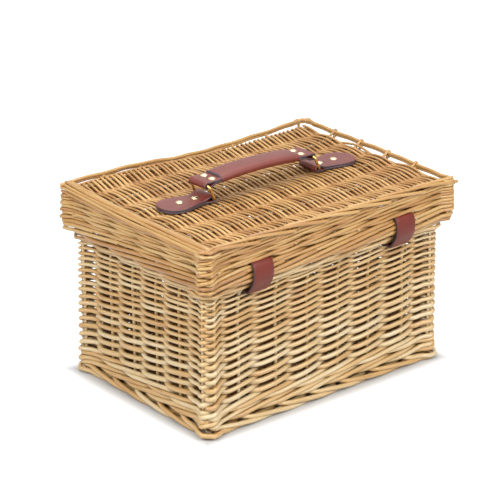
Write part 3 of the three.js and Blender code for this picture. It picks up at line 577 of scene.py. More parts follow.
def jitter(k, size):
    """Small random shifts, one for each stake passed."""
    numbers = np.arange(math.floor(k[0]) - 1, math.ceil(k[-1]) + 2)
    return smooth(k, numbers, random.normal(0, size, len(numbers)))


STRAP_FADE = 14


def add_course(rods, path, radius, slit_z):
    """Adds a rod, moved up or down where a hinge strap passes through the weave at the slit's height."""
    if slit_z:
        path = part_round_straps(path, slit_z, radius)
    rods.add(path, radius, taper=True)


def part_round_straps(path, slit_z, radius):
    """The rod's path, moved up or down to leave the slit free."""
    beside = np.abs(np.abs(path[:, 0]) - STRAP_X) - HINGE_WIDTH / 2
    near = np.clip(1 - np.maximum(beside, 0) / STRAP_FADE, 0, 1) * (path[:, 1] > 0)
    near = near * near * (3 - 2 * near)
    off = path[:, 2] - slit_z
    side = -1 if off[near > 0].sum() < 0 else 1
    need = np.maximum(HINGE_THICKNESS / 2 + radius - side * off, 0)
    path[:, 2] += side * near * need
    return path


def runs_from(first, runs):
    """Start and end of each rod that follows the one before."""
    stops = np.concatenate([[0], np.cumsum(runs)]) + first
    return list(zip(stops[:-1], stops[1:]))


def stake_steps(first, last):
    count = int((last - first + 2 * ROD_TAIL) * STEPS_PER_STAKE)
    return np.linspace(first - ROD_TAIL, last + ROD_TAIL, count)


TUCK = 7


def tuck(k, first, last):
    """How far a rod's ends are drawn in behind the stakes."""
    return TUCK * np.maximum(np.maximum(first - k, k - last), 0)


def ramps(turn):
    """Straight rises and falls between -1 and 1 with rounded turns, in step with the sine."""
    return 0.9 * (np.sin(turn) - np.sin(3 * turn) / 9 + np.sin(5 * turn) / 25)


def beside_stake(radius):
    """How far out a rod passes a stake, which gives way a little."""
    return STAKE_GIVE * STAKE_RADIUS + radius


def pairing_row(rods, ring, z, pitch, slit_z=None):
    """Two rods that cross after every stake, one passing it outside and the other inside."""
    radius, lift = ROD_SHARE * pitch, pitch / 4
    rise = waver(ring, 0.3)
    for phase in (0, 1):
        first = phase + 1 + 2 * random.integers(0, ring.count // 2)
        for start, end in runs_from(first, random.permutation(PAIRING_RUNS)):
            k = stake_steps(start, end)
            size = radius * random.uniform(*PAIRING_SIZES)
            turn = math.pi * (k - phase)
            out = beside_stake(size) * np.cos(turn + HEAD_LEAD) - tuck(k, start, end) + jitter(k, 0.25)
            height = z + lift * ramps(turn) + BOW * np.cos(turn) ** 2 + rise(k) + jitter(k, 0.22)
            add_course(rods, ring.path(k, out, height), size, slit_z)


WALE_KEYS = (0, 0.5, 1, 1.5, 2, 2.5)
WALE_OUT = (-1, 0.05, 1, 1.08, 1, 0.05)
WALE_RISE = (0, -0.56, -0.5, 0, 0.5, 0.56)


def wale_row(rods, ring, z, radius, slit_z=None):
    """Three rods, each passing outside two stakes and inside the third, with every stroke rising."""
    rise = waver(ring, 0.35)
    for phase, runs in enumerate(WALE_RUNS):
        for start, end in runs_from(phase, runs):
            k = stake_steps(start, end)
            size = radius * random.uniform(*ROD_SIZES)
            out = beside_stake(size) * smooth_loop(k - phase, 3, WALE_KEYS, WALE_OUT)
            out = out - tuck(k, start, end) + jitter(k, 0.3)
            stroke = 2 * radius * smooth_loop(k - phase, 3, WALE_KEYS, WALE_RISE)
            height = z + stroke + rise(k) + jitter(k, 0.25)
            add_course(rods, ring.path(k, out, height), size, slit_z)


def laid_rod(ring, post, keys):
    """A rod through (posts passed, distance out, height) keys, starting at the given post."""
    passed, out, z = np.array(keys, float).T
    spaced = np.stack([POST_SPACING * passed, out, z], axis=1)
    reach = lengths_along(spaced)
    at = np.linspace(0, reach[-1], int(reach[-1] / STEP) + 2)
    size = np.minimum(at / 20, 1)
    out = smooth(at, reach, out) + size * random.normal(0, 0.25)
    height = smooth(at, reach, z) + size * random.normal(0, 0.25)
    return ring.path(post + smooth(at, reach, passed), out, height)


# Laid rods as (posts passed, distance out, height) keys
FOOT_KEYS = (
    (0, 0, 15), (0.05, 1.2, 11.5), (0.25, 4.4, 8.8), (0.6, 6.8, 7.4), (1, 7.4, 5.4),
    (1.4, 6.6, 3.4), (1.75, 4.6, 2.8), (2, 2.5, 2.8), (2.6, -4, 2.8), (3.1, -7.6, 2.9),
)
RIM_KEYS = (
    (0, 0, 12), (0, 0, 80), (0, 0, 150), (0.03, 0.2, 157), (0.14, 2.2, 161.2), (0.4, 5.6, 163),
    (1, 9.6, 165), (1.5, 9.8, 167.9), (2, 6, 169), (2.5, 1, 169), (2.9, -1.6, 168.6),
)
LID_BORDER_KEYS = (
    (0, 0, 207), (0, 0, 195), (0.03, -0.4, 186), (0.12, -1.6, 180), (0.3, -1.6, 175.2),
    (0.55, 0.8, 173.8), (0.8, 3, 173.8), (1.2, 4, 175.2), (1.7, 4.4, 178.2), (2.2, 4.4, 181),
    (2.6, 4.2, 183.4), (2.95, 3.6, 184.8),
)
TOP_KEYS = (
    (0, -4, 219), (0.25, -1.4, 220.3), (0.6, 1.4, 220.8), (1, 3.4, 220.8), (1.4, 5, 220),
    (1.8, 6.2, 218), (2.1, 6.6, 216.4), (2.25, 6.6, 215.8),
)


def border(rods, ring, keys, radius):
    """One laid rod from every post, each over the ones before."""
    for post in range(ring.count):
        rods.add(laid_rod(ring, post, keys), radius * random.uniform(*ROD_SIZES))


def corner_uprights(rods, ring, low, high):
    """The pair of upright stakes at each corner, cut off under the border."""
    gaps = np.diff(ring.stops, append=ring.stops[0] + ring.length)
    z = np.linspace(low, high, 12)
    for i in range(ring.count):
        if min(gaps[i], gaps[i - 1]) < POST_SPACING / 2:
            path = ring.path(np.full(len(z), float(i)), jitter(z / 20, 0.2), z)
            rods.add(path, STAKE_RADIUS)


STEPS_PER_STICK, WEAVER_SIDES = 7, 7
# A weaver's passes, its share of thickness under, between and over the sticks, and how its tails run on
WEAVER_PASSES = (2, 6)
WEAVER_FULLNESS = (1.42, 1.15, 1)
TAIL_REACH, TAIL_SWAY, TAIL_LIFT = (2.5, 5.5), 0.8, (-1, 0.5)


def panel_weavers(rods, half_x, sticks, z, spacing, radius, lift):
    """Fine rods across the sticks, over one and under the next, turning back round the outer ones."""
    count = int(2 * half_x / spacing)
    swing = STICK_RADIUS + radius
    number = np.linspace(0, len(sticks) - 1, STEPS_PER_STICK * (len(sticks) - 1) + 1)
    y = sticks[0] + (sticks[1] - sticks[0]) * number
    passes = []
    for i, x in enumerate(np.linspace(-half_x, half_x, count)):
        swings = (-1) ** i * np.cos(math.pi * number)
        line = np.stack([np.full(len(y), x), y, z + swing * swings], axis=1)
        line[:, 0] += random.normal(0, 0.22) + jitter(number, 0.36)
        line[:, 2] += jitter(number, 0.2)
        passes.append(line if i % 2 == 0 else line[::-1])
    first = 0
    while first < count:
        last = min(count, first + int(random.integers(*WEAVER_PASSES)))
        weaver = with_tails(turned_back(passes[first:last], z, swing))
        above = (weaver[:, 2] - z) / swing
        thickness = radius * np.interp(above, (-1, 0, 1), WEAVER_FULLNESS)
        weaver[:, 2] += lift(weaver[:, 0], weaver[:, 1])
        rods.add(weaver, thickness * random.uniform(*WEAVER_SIZES), sides=WEAVER_SIDES, taper=True)
        first = last


def turned_back(passes, z, swing):
    """The passes of one weaver with a half turn round the outer stick between each two."""
    joined = [passes[0]]
    for before, after in zip(passes[:-1], passes[1:]):
        x, y, height = before[-1]
        outward = math.copysign(swing, y)
        side = math.copysign(swing, height - z)
        for share in (0.25, 0.5, 0.75):
            angle = math.pi * share
            across = x + (after[0][0] - x) * share
            joined.append((across, y + outward * math.sin(angle), z + side * math.cos(angle)))
        joined.append(after)
    return np.vstack(joined)


def with_tails(weaver):
    """The weaver with both ends running on past the outer sticks."""
    tails = []
    for end in (weaver[0], weaver[-1]):
        outward = math.copysign(random.uniform(*TAIL_REACH), end[1])
        tails.append(end + (random.normal(0, TAIL_SWAY), outward, random.uniform(*TAIL_LIFT)))
    return np.vstack([tails[0], weaver, tails[1]])


def build_wall():
    """Basket wall from the foot to the rim."""
    foot, lower, weave, rim_wale, stakes = (Rods() for _ in range(5))
    border(foot, wall_posts, FOOT_KEYS, FOOT_RADIUS)
    for z in LOWER_WALE_Z:
        wale_row(lower, wall, z, LOWER_WALE_RADIUS)
    low = WEAVE_Z
    for share in np.linspace(1, -1, WEAVE_ROWS):
        pitch = WEAVE_HEIGHT / WEAVE_ROWS * (1 + ROW_NARROWING * share)
        pairing_row(weave, wall, low + pitch / 2, pitch)
        low += pitch
    for z in RIM_WALE_Z:
        pairing_row(rim_wale, wall, z, RIM_WALE_PITCH, WALL_SLIT_Z)
    border(stakes, rim_posts, RIM_KEYS, RIM_RADIUS)
    corner_uprights(stakes, wall, *WALL_STAKE_Z)
    foot.piece("foot_border", WEAVE, "basket", "willow_border")
    lower.piece("lower_wale", WEAVE, "basket", "willow_border", wall.cover)
    weave.piece("side_weave", WEAVE, "basket", "willow_weave", wall.cover)
    rim_wale.piece("rim_wale", WEAVE, "basket", "willow_weave", wall.cover)
    stakes.piece("side_stakes_and_rim", WEAVE, "basket", "willow_stake")


def build_lid():
    """Lid skirt with its lower and upper border."""
    skirt, lower, top = (Rods() for _ in range(3))
    for z, radius in SKIRT_ROWS:
        wale_row(skirt, lid, z, radius, LID_SLIT_Z)
    rod_butts(skirt)
    border(lower, hem_posts, LID_BORDER_KEYS, HEM_RADIUS)
    corner_uprights(lower, lid, *LID_STAKE_Z)
    lining_rods(lower)
    wale_row(top, lid, TOP_WALE_Z, TOP_WALE_RADIUS)
    hinge_side_rods(top)
    right_side_rods(top)
    far_rods(top)
    inner_front_rod(top)
    stake_tips(top)
    skirt.piece("lid_skirt", SKIRT, "lid", "willow_weave", lid.cover)
    lower.piece("lid_stakes_and_border", SKIRT, "lid", "willow_stake")
    top.piece("lid_top_border", SKIRT, "lid", "willow_border")


BUTT_TURN, BUTT_OUT, BUTT_REACH, BUTT_DROP, BUTT_CLIMB = 0.3, -1.6, 7.2, 2.6, 0.8
BUTT_CLEARANCE = 24


def rod_butts(rods):
    """Butt ends of the skirt's rods, standing out a little beside every other stake."""
    share = np.linspace(0, 1, 6)
    for post in range(lid.count):
        z, radius = SKIRT_ROWS[int(random.integers(0, 3))]
        beside = post + random.uniform(0.3, 0.6)
        height = z - BUTT_DROP + BUTT_CLIMB * share
        path = lid.path(beside - BUTT_TURN * share, BUTT_REACH * share + BUTT_OUT, height)
        near_strap = abs(abs(path[-1][0]) - STRAP_X) < BUTT_CLEARANCE
        if post % 2 and not near_strap:
            rods.add(path, radius)


# Lining rods as (height, radius)
LINING_RODS = ((177, 1.7), (183.4, 1.6))
LINING_START, LINING_END, LINING_STEPS, LINING_OUT = 14.4, 38.3, 220, -3.6


def lining_rods(rods):
    """Two rods that run round behind the lid's lower border."""
    k = np.linspace(LINING_START, LINING_END, LINING_STEPS)
    for z, radius in LINING_RODS:
        path = hem_posts.path(k, jitter(k, 0.2) + LINING_OUT, z + jitter(k, 0.2))
        rods.add(path, radius)


def past_corner(path, end_x):
    """The path up to its corner, and from there straight on to the given place."""
    path = path[math.copysign(1, end_x) * path[:, 0] < LID_X - CORNER_REACH]
    ahead = path[-1] - path[-2]
    share = np.linspace(0, (end_x - path[-1, 0]) / ahead[0], 6)[1:]
    return np.vstack([path, path[-1] + share[:, None] * ahead])


HINGE_SIDE_DEPTH = 4
HINGE_SIDE_ENDS = {BACK_LEFT - 2: -182, BACK_LEFT - 1: -178}


def hinge_side_rods(rods):
    """Laid rods along the lid's hinge side, each over the ones before, cut off at the corners."""
    for post in range(-2, BACK_LEFT):
        path = laid_rod(lid_posts, post, TOP_KEYS)
        path = path[path[:, 1] > LID_Y - HINGE_SIDE_DEPTH]
        if post in HINGE_SIDE_ENDS:
            path = past_corner(path, HINGE_SIDE_ENDS[post])
        rods.add(path, LAID_RADIUS * random.uniform(*HINGE_SIDE_SIZES))


# Rods along the lid's right edge as (x, height, climb towards the front)
RIGHT_RODS = (
    (177.2, 214.6, 1.8), (176.4, 217, 3.2), (174.6, 219.2, 4.2),
    (171.8, 220.7, 4.6), (168.8, 220.7, 4.6), (165.9, 219.6, 4.4),
)
RIGHT_RADIUS, RIGHT_STEPS, RIGHT_BENDS = 1.75, 60, 7
RIGHT_FRONT, RIGHT_BACK = -127.5, 123
RIGHT_SWAY, RIGHT_WAVER = 0.55, 0.4


def right_side_rods(rods):
    """Long thin rods that lie side by side along the lid's right edge."""
    y = np.linspace(RIGHT_FRONT, RIGHT_BACK, RIGHT_STEPS)
    places = np.linspace(-128, 127, RIGHT_BENDS)
    for x, z, climb in RIGHT_RODS:
        sway = smooth(y, places, random.normal(0, RIGHT_SWAY, RIGHT_BENDS))
        rise = smooth(y, places, random.normal(0, RIGHT_WAVER, RIGHT_BENDS))
        rise = climb * np.maximum(-y / LID_Y, 0) ** 2 + rise
        rods.add(np.stack([x + sway, y, z + rise], axis=1), RIGHT_RADIUS, taper=True)


# The far rods as (distance out, drop, radius), and their runs from post to post
FAR_RODS = ((3.9, 0, 2), (4.6, 2.9, 1.75))
FAR_RUNS = ((BACK_LEFT - 0.15, 12.4), (11.7, 15.6), (14.8, FRONT_RIGHT + 0.4))
FAR_BOW = 0.9
FAR_END, INNER_END = 179, 172
INNER_RUN = (14.5, FRONT_RIGHT - 0.3)
INNER_OUT, INNER_LIFT, INNER_RADIUS = -3, 1.6, 2
TIP_RADIUS, TIP_DROP, TIP_OUT, TIP_TURN = 1.7, 1.4, 3.8, 0.05
# A tip's line as (distance out, height), and a wrapped rod's start as (distance out, rise from its middle)
TIP_LINE = ((0, 203), (0.8, 209), (2.4, 213.5))
WRAP_START = ((-9, -3.4), (-4, -1.4))
WRAP_RADIUS, WRAP_OUT, WRAP_WIDE, WRAP_HIGH, WRAP_LEAN = 1.6, 0.4, 2.9, 4.1, 400


def far_rods(rods):
    """Two rods, one over the other, along the lid's left and front edges."""
    for out, drop, radius in FAR_RODS:
        for start, end in FAR_RUNS:
            k = np.linspace(start, end, int((end - start) * STEPS_PER_STAKE))
            bow = FAR_BOW * np.sin(math.pi * k) ** 2
            height = far_height(k) - drop + bow + jitter(k, 0.3)
            path = lid_posts.path(k, out + far_out(k) + jitter(k, 0.3), height)
            rods.add(past_corner(path, FAR_END) if end > FRONT_RIGHT else path, radius)


def inner_front_rod(rods):
    """A rod at the ends of the weave, along the right part of the front edge."""
    k = np.linspace(*INNER_RUN, 60)
    path = lid_posts.path(k, jitter(k, 0.3) + INNER_OUT, 0)
    path[:, 2] = LID_PANEL_Z + INNER_LIFT + edge_lift(path[:, 0], path[:, 1])
    rods.add(past_corner(path, INNER_END), INNER_RADIUS)


def stake_tips(rods):
    """Tips of the stakes that hold the far rods off the weave, on the left with a rod wrapped round each."""
    for post in range(BACK_LEFT + 1, FRONT_RIGHT):
        middle = far_height(post) - TIP_DROP
        beyond = TIP_OUT + far_out(post)
        turn = post + TIP_TURN
        out, height = smooth_line((*TIP_LINE, (beyond, middle)), 2).T
        rods.add(lid_posts.path(np.full(len(out), turn), out, height), TIP_RADIUS)
        if post < FRONT_LEFT:
            wrap = [(out, middle + rise) for out, rise in WRAP_START]
            for degrees in range(135, -126, -20):
                angle = math.radians(degrees)
                away = beyond + WRAP_OUT + WRAP_WIDE * math.cos(angle)
                wrap.append((away, middle + WRAP_HIGH * math.sin(angle)))
            out, height = smooth_line(wrap, 1.2).T
            rods.add(lid_posts.path(turn + out / WRAP_LEAN, out, height), WRAP_RADIUS)


FAR_POSTS = (5, 7, 8, 9.5, 11, 12, 13, 14, 15, 16, 17, 18, 19, 21)
FAR_HEIGHTS = (218, 218.2, 219.6, 222, 223, 224.4, 221.8, 219.9, 218.6, 220.2, 224, 224.8, 224, 224)


def far_height(k):
    """Height of the far rod line, which rises towards the front corners and dips between them."""
    return smooth(k, FAR_POSTS, FAR_HEIGHTS)


def far_out(k):
    """How far the far rod line bulges out along the left edge."""
    return np.interp(k, (BACK_LEFT, 8, 11, FRONT_LEFT), (0, 2, 2, 0.6))


LIFT_X = (-230, -172, -120, -68, -22, 22, 68, 120, 172, 230)
FRONT_LIFT = (4.4, 4.4, 3.4, 2.4, 1.6, 2.8, 5.8, 6.4, 5.6, 5.6)
LIFT_Y = (-180, -122, -69, 0, 69, 122, 180)
LEFT_LIFT = (4.4, 4.4, 4, 3.8, 2.2, 0.8, 0)
# How far out from the middle the lift starts, and the way it takes to its full height
FRONT_START, FRONT_WAY, LEFT_START, LEFT_WAY, LIFT_POWER = 55, 59, 115, 52, 1.5


def edge_lift(x, y):
    """How far the lid's weave is drawn up to the rod line at its front and left edges."""
    front = smooth(x, LIFT_X, FRONT_LIFT) * np.clip((-y - FRONT_START) / FRONT_WAY, 0, 1) ** LIFT_POWER
    left = smooth(y, LIFT_Y, LEFT_LIFT) * np.clip((-x - LEFT_START) / LEFT_WAY, 0, 1) ** LIFT_POWER
    return np.maximum(front, left)


def build_panel(name, half_x, edge_y, z, spacing, radius, material, body, lift):
    """A woven panel and its six sticks."""
    sticks = np.linspace(-edge_y, edge_y, PANEL_STICKS)
    weave = Rods()
    panel_weavers(weave, half_x, sticks, z, spacing, radius, lift)

    # Painted shade on the weavers where they face back into the panel's middle
    def cover(points, middles):
        facing = (points - middles)[:, 2] / np.linalg.norm(points - middles, axis=1)
        return painted_shade_share(facing, middles[:, 2] - z - lift(middles[:, 0], middles[:, 1]))

    weave.piece(name + "_weave", material, body, "willow_weave", cover)
    x = np.linspace(-half_x - 1, half_x + 1, 40)
    places = np.linspace(-half_x - 2, half_x + 2, 8)
    for i, stick_y in enumerate(sticks):
        rods = Rods()
        y = stick_y + smooth(x, places, random.normal(0, 0.3, 8))
        rods.add(np.stack([x, y, z + lift(x, y)], axis=1), STICK_RADIUS, taper=True)
        rods.piece(f"{name}_stick_{i + 1}", PALE, body, "willow_stake", ending="_rod")


# Leather and metal


def strap_section(half_width, half_thickness, rounding):
    """Outline of a strap across its length as (across, up) points, from the top's far corner round."""
    w, h = half_width, half_thickness
    q = min(rounding, 0.45 * w, 0.9 * h)
    d = q * (1 - math.sqrt(0.5))
    crown = 0.08 * h
    top = [(-w + q, h), (-0.6 * w, h + crown), (0, h + crown), (0.6 * w, h + crown), (w - q, h)]
    right = [(w - d, h - d), (w, h - q), (w, q - h), (w - d, d - h)]
    bottom = [(a, -b) for a, b in reversed(top)]
    left = [(-a, b) for a, b in reversed(right)]
    return np.array(top + right + bottom + left)


EDGE_SEGMENTS = (5, 6, 7, 14, 15, 16)


def strap(name, path, across, widths, thickness, closed=False, rounding=0.7, materials=(LEATHER, EDGE)):
    """A strap along the path: leather on its faces, dark paint on its cut edges."""
    path = np.asarray(path, float)
    across = np.asarray(across, float)
    widths = np.broadcast_to(widths, len(path))
    heights = np.broadcast_to(thickness, len(path))
    ups = np.cross(tangents_of(path, closed), across)
    rows = []
    for place, up, width, height in zip(path, ups, widths, heights):
        section = strap_section(width / 2, height / 2, rounding)
        rows.append(place + section[:, :1] * across + section[:, 1:] * up)
    return swept(name, rows, materials, closed, edge_columns=EDGE_SEGMENTS, flat_caps=True)


def cut_through(piece, tools):
    """Takes the tools' shapes out of the piece."""
    for tool in tools:
        modifier = piece.modifiers.new("cut", "BOOLEAN")
        modifier.operation = "DIFFERENCE"
        modifier.solver = "EXACT"
        modifier.object = tool
    evaluated = piece.evaluated_get(bpy.context.evaluated_depsgraph_get())
    shape = bpy.data.meshes.new_from_object(evaluated)
    piece.modifiers.clear()
    piece.data = shape
    for tool in tools:
        bpy.data.objects.remove(tool)
    return piece


def turned(name, profile, place, axis, sides, material):
    """A body of revolution from (radius, height) points along the axis, standing at the place."""
    axis = np.asarray(axis, float) / np.linalg.norm(axis)
    side = np.cross(axis, (0, 0, 1) if abs(axis[2]) < 0.9 else (0, 1, 0))
    side /= np.linalg.norm(side)
    other = np.cross(axis, side)
    cosine, sine = circle(sides)
    around = cosine[:, None] * side + sine[:, None] * other
    rows = [place + radius * around + height * axis for radius, height in profile]
    return swept(name, rows, [material])


# Half sections as (radius, height): a rivet's burr, up from its tip, and its cap, from the leather up
BURR = ((0.5, -1.5), (2.2, -1.45), (3.1, -1.1), (3.4, -0.5), (3.3, -0.05), (1.5, 0))
CAP = (
    (1.5, -0.05), (3.9, -0.05), (4.2, 0.15), (4.2, 0.45), (4.0, 0.7), (3.7, 0.78),
    (3.5, 1.0), (2.9, 1.4), (2.0, 1.72), (1.0, 1.86), (0.3, 1.9),
)


def rivet(node, body, place, axis, grip):
    """A domed cap on the leather, its shank, and its burr behind the stack."""
    profile = [(radius, height - grip) for radius, height in BURR] + list(CAP)
    piece = turned(node + "_cap", profile, place, axis, RIVET_SIDES, RIVET_BRASS)
    dress(piece, body, "rivet_brass", node)


def rivet_pair(node, body, x, y, z, grip):
    """Two rivets side by side, with their caps to the front."""
    for i, beside in enumerate((-RIVET_ASIDE, RIVET_ASIDE)):
        rivet(f"{node}_{i + 1}", body, (x + beside, y, z), (0, -1, 0), grip)


def wire_loop(node, body, center, width, span, along):
    """A closed rectangular loop of round wire, its width across and its span along the given direction."""
    a, b = width / 2 - WIRE_CORNER, span / 2 - WIRE_CORNER
    along = np.asarray(along, float)
    across = np.array([1.0, 0.0, 0.0]) if abs(along[0]) < 1e-9 else np.array([0.0, 1.0, 0.0])
    path = []
    for sign_a, sign_b, start in ((1, 1, 0), (-1, 1, 90), (-1, -1, 180), (1, -1, 270)):
        for degrees in np.linspace(start, start + 90, 7):
            angle = math.radians(degrees)
            p = sign_a * a + WIRE_CORNER * math.cos(angle)
            q = sign_b * b + WIRE_CORNER * math.sin(angle)
            path.append(center + p * across + q * along)
    path = np.array(path)
    normal = np.cross(across, along)
    binormals = np.cross(tangents_of(path, True), normal)
    cosine, sine = (part[:, None] for part in circle(WIRE_SIDES))
    rows = path[:, None] + WIRE_RADIUS * (cosine * normal + sine * binormals[:, None])
    dress(swept(node + "_wire", rows, [RING_BRASS], closed=True), body, "ring_brass", node)


# Middle line of a hinge loop in (y, z): out through the skirt, down over both borders, in under the rim
HINGE_LINE = (
    (116, LID_SLIT_Z), (128, LID_SLIT_Z), (131.2, 184.3), (130.7, 173.9), (124.4, 162.1),
    (120.7, WALL_SLIT_Z), (114.7, WALL_SLIT_Z), (102.5, WALL_SLIT_Z), (100.7, 159.5), (100.7, 172),
    (107.8, 182.5),
)
HINGE_INSIDE_Y, HINGE_RIVET_Z = 100.7, 165.5


def build_hinges():
    """Leather hinge loops, each with its rivet."""
    for side, sign in SIDES:
        x = sign * STRAP_X
        path = smooth_line([(x, y, z) for y, z in HINGE_LINE], 2.2, closed=True)
        size = (HINGE_WIDTH, HINGE_THICKNESS)
        looks = {"closed": True, "materials": (HINGE_LEATHER, EDGE)}
        piece = strap(f"hinge_strap_{side}_leather", path, (1, 0, 0), *size, **looks)
        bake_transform(piece)
        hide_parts(f"hinge_strap_{side}")
        seat = (x, HINGE_INSIDE_Y - HINGE_THICKNESS / 2, HINGE_RIVET_Z)
        rivet(f"hinge_rivet_{side}", "basket", seat, (0, -1, 0), HINGE_THICKNESS)


# Places along a folded strap's plies where they close in on the fold, each with the share still to go
EASING = ((12, 0), (8.5, 0.35), (4.5, 0.85))


def folded_end(lift, drop):
    """A strap's fold round a bar at the origin, as (along, up) points from its upper ply to its lower one."""
    arc = [math.radians(degrees) for degrees in range(90, 271, 20)]
    fold = [(FOLD_MIDDLE * math.cos(angle), FOLD_MIDDLE * math.sin(angle)) for angle in arc]
    upper = [(along, lift + share * (FOLD_MIDDLE - lift)) for along, share in EASING]
    lower = [(along, drop - share * (FOLD_MIDDLE + drop)) for along, share in reversed(EASING)]
    return upper + fold + lower


def folded_strap(straight):
    """A strap folded back under itself at a bar, as (along, up) points from its upper ply's end."""
    drop = PLY / 2 - FOLD_OUTER
    lift = drop + PLY
    upper = [(along, lift) for along in reversed(straight)]
    return np.array(upper + folded_end(lift, drop) + [(along, drop) for along in straight])


def tab_width(along):
    """Width of a handle tab at a distance from its ring: a slight waist, then wider, then a round end."""
    keys = (-4, 0, 13, 26, 40, 50, 56, 60, 61.6, 62)
    widths = (30, 30, 27, 33, 40, 37.5, 30, 17.5, 8, 2.5)
    return smooth(along, keys, widths)


TAB_ALONG = (16, 22, 28, 34, 40, 44, 48, 51, 54, 56.5, 58.5, 60, 61, 61.6, 62)
TAB_RIVETS = (14, 35.5)
PANEL_GRIP, SKIRT_GRIP, WALL_GRIP = 9.3, 12.3, 14.3


def build_tabs():
    """Tabs that hold the rings on the lid, each a strap folded round its ring's bar."""
    line = folded_strap(TAB_ALONG)
    widths = tab_width(line[:, 0])
    for side, sign in SIDES:
        path = [(sign * (RING_X + along), 0, RING_Z + up) for along, up in line]
        piece = strap(f"handle_tab_{side}_leather", path, (0, sign, 0), widths, SHOWN_PLY)
        dress(piece, "lid", "leather", f"handle_tab_{side}")
        for i, beside in enumerate(TAB_RIVETS):
            place = (sign * (RING_X + beside), 0, TAB_Z + 2 * PLY)
            rivet(f"tab_rivet_{side}_{i + 1}", "lid", place, (0, 0, 1), 2 * PLY + PANEL_GRIP)


RING_WIDTH = 34


def build_rings():
    """The handle's two wire rings, leaning to one side."""
    along = np.array([math.sin(RING_LEAN), 0, math.cos(RING_LEAN)])
    for side, sign in SIDES:
        center = np.array([sign * RING_X, 0, RING_Z]) + along * RING_SPAN / 2
        wire_loop(f"handle_ring_{side}", f"ring_{side}", center, RING_WIDTH, RING_SPAN, along)


def arch(x):
    """Height of the handle's arch over the line between its ring bars."""
    return HANDLE_RISE * (1 - (x / RING_X) ** 2)


def on_arch(x, y=0):
    """The point of the handle's arch at x, and the direction straight up from the arch."""
    slope = -2 * HANDLE_RISE * x / RING_X**2
    return np.array([HANDLE_X + x, y, HANDLE_Z + arch(x)]), np.array([-slope, 0, 1]) / math.hypot(slope, 1)


HANDLE_STRAIGHT, FOLD_END, HANDLE_RIVET_X, HANDLE_RIVET_Y = 16, 6, 12, 7


def build_handle():
    """Strap folded round both rings, with the padded grip sewn round its middle."""
    end = folded_end(PLY / 2, -PLY / 2)
    middle = np.linspace(HANDLE_STRAIGHT - RING_X, RING_X - HANDLE_STRAIGHT, 30)
    upper = [(x, arch(x) + PLY / 2) for x in middle]
    right = [(RING_X - along, arch(RING_X - along) * (along > FOLD_END) + up) for along, up in end]
    lower = [(x, arch(x) - PLY / 2) for x in middle[::-1]]
    left = [(-x, up) for x, up in reversed(right)]
    line = np.array(upper + right + lower + left)
    widths = np.where(np.abs(line[:, 0]) < GRIP_HALF - 1, HANDLE_WAIST, HANDLE_WIDTH)
    path = [(HANDLE_X + x, 0, HANDLE_Z + up) for x, up in line]
    piece = strap("handle_strap_leather", path, (0, 1, 0), widths, SHOWN_PLY, closed=True)
    dress(piece, "handle", "leather", "handle_strap")
    build_grip()
    for side, sign in SIDES:
        for place, y in (("front", -HANDLE_RIVET_Y), ("back", HANDLE_RIVET_Y)):
            seat, up = on_arch(sign * (RING_X - HANDLE_RIVET_X), y)
            rivet(f"handle_rivet_{side}_{place}", "handle", seat + up * PLY, up, 2 * PLY)


def grip_section(half_width, half_height):
    """A full rounded outline, flatter above and below than at its sides."""
    outline = np.stack(circle(GRIP_SIDES), axis=1)
    return (half_width, half_height) * np.sign(outline) * np.abs(outline) ** GRIP_POWER


def build_grip():
    """Padded sleeve round the handle, with dark turned edges at its two ends."""
    end = np.array([56, 55.9, 55.2, 53.5])
    xs = np.concatenate([-end, np.linspace(-50, 50, 30), end[::-1]])
    fullness = smooth(np.abs(xs), (0, 46, 53, 55.2, GRIP_HALF), (1, 1, 0.985, 0.95, 0.84))
    rows = []
    for x, full in zip(xs, fullness):
        section = grip_section(GRIP_WIDTH / 2 * min(1, full + 0.06), GRIP_HEIGHT / 2 * full)
        place, up = on_arch(x)
        rows.append(place + section[:, :1] * np.array([0, 1, 0]) + section[:, 1:] * up)
    dark = (0, 1, len(xs) - 3, len(xs) - 2)
    piece = swept("handle_grip_leather", rows, [GRIP_LEATHER, EDGE], edge_rows=dark)
    dress(piece, "handle", "grip_leather", "handle_grip")


def round_tool(name, place, radius, length):
    """A cylinder along Y that cuts a hole."""
    profile = ((radius, -length / 2), (radius, length / 2))
    return turned(name, profile, place, (0, 1, 0), HOLE_SIDES, EDGE)


def box_tool(name, low, high):
    """A box that cuts a slot."""
    xs, ys, zs = zip(low, high)
    corners = [(x, y, z) for x in xs for y in ys for z in zs]
    faces = [[0, 1, 3, 2], [4, 6, 7, 5], [0, 4, 5, 1], [2, 3, 7, 6], [0, 2, 6, 4], [1, 5, 7, 3]]
    return make_piece(name, corners, faces, [EDGE])


CHAPE_ALONG = (16, 20, 24, 28)
CHAPE_WIDTH, CHAPE_RIVET_Z = 22, 19
SLOT_LOW, SLOT_HIGH = (-2.4, -12, -9), (2.4, 12, 9.5)


def build_chape(side, x):
    """Leather on the lid's front, folded round the buckle's bar, with a slot for the prong."""
    bar = np.array([x, BUCKLE_Y, BUCKLE_Z])
    path = [bar + (0, -up, along) for along, up in folded_strap(CHAPE_ALONG)]
    piece = strap(f"buckle_chape_{side}_leather", path, (1, 0, 0), CHAPE_WIDTH, SHOWN_PLY)
    cut_through(piece, [box_tool("prong_slot", bar + SLOT_LOW, bar + SLOT_HIGH)])
    dress(piece, "lid", "leather", f"buckle_chape_{side}")
    face_y = BUCKLE_Y + FOLD_OUTER - 2 * PLY
    grip = 2 * PLY + SKIRT_GRIP
    rivet_pair(f"chape_rivet_{side}", "lid", x, face_y, BUCKLE_Z + CHAPE_RIVET_Z, grip)


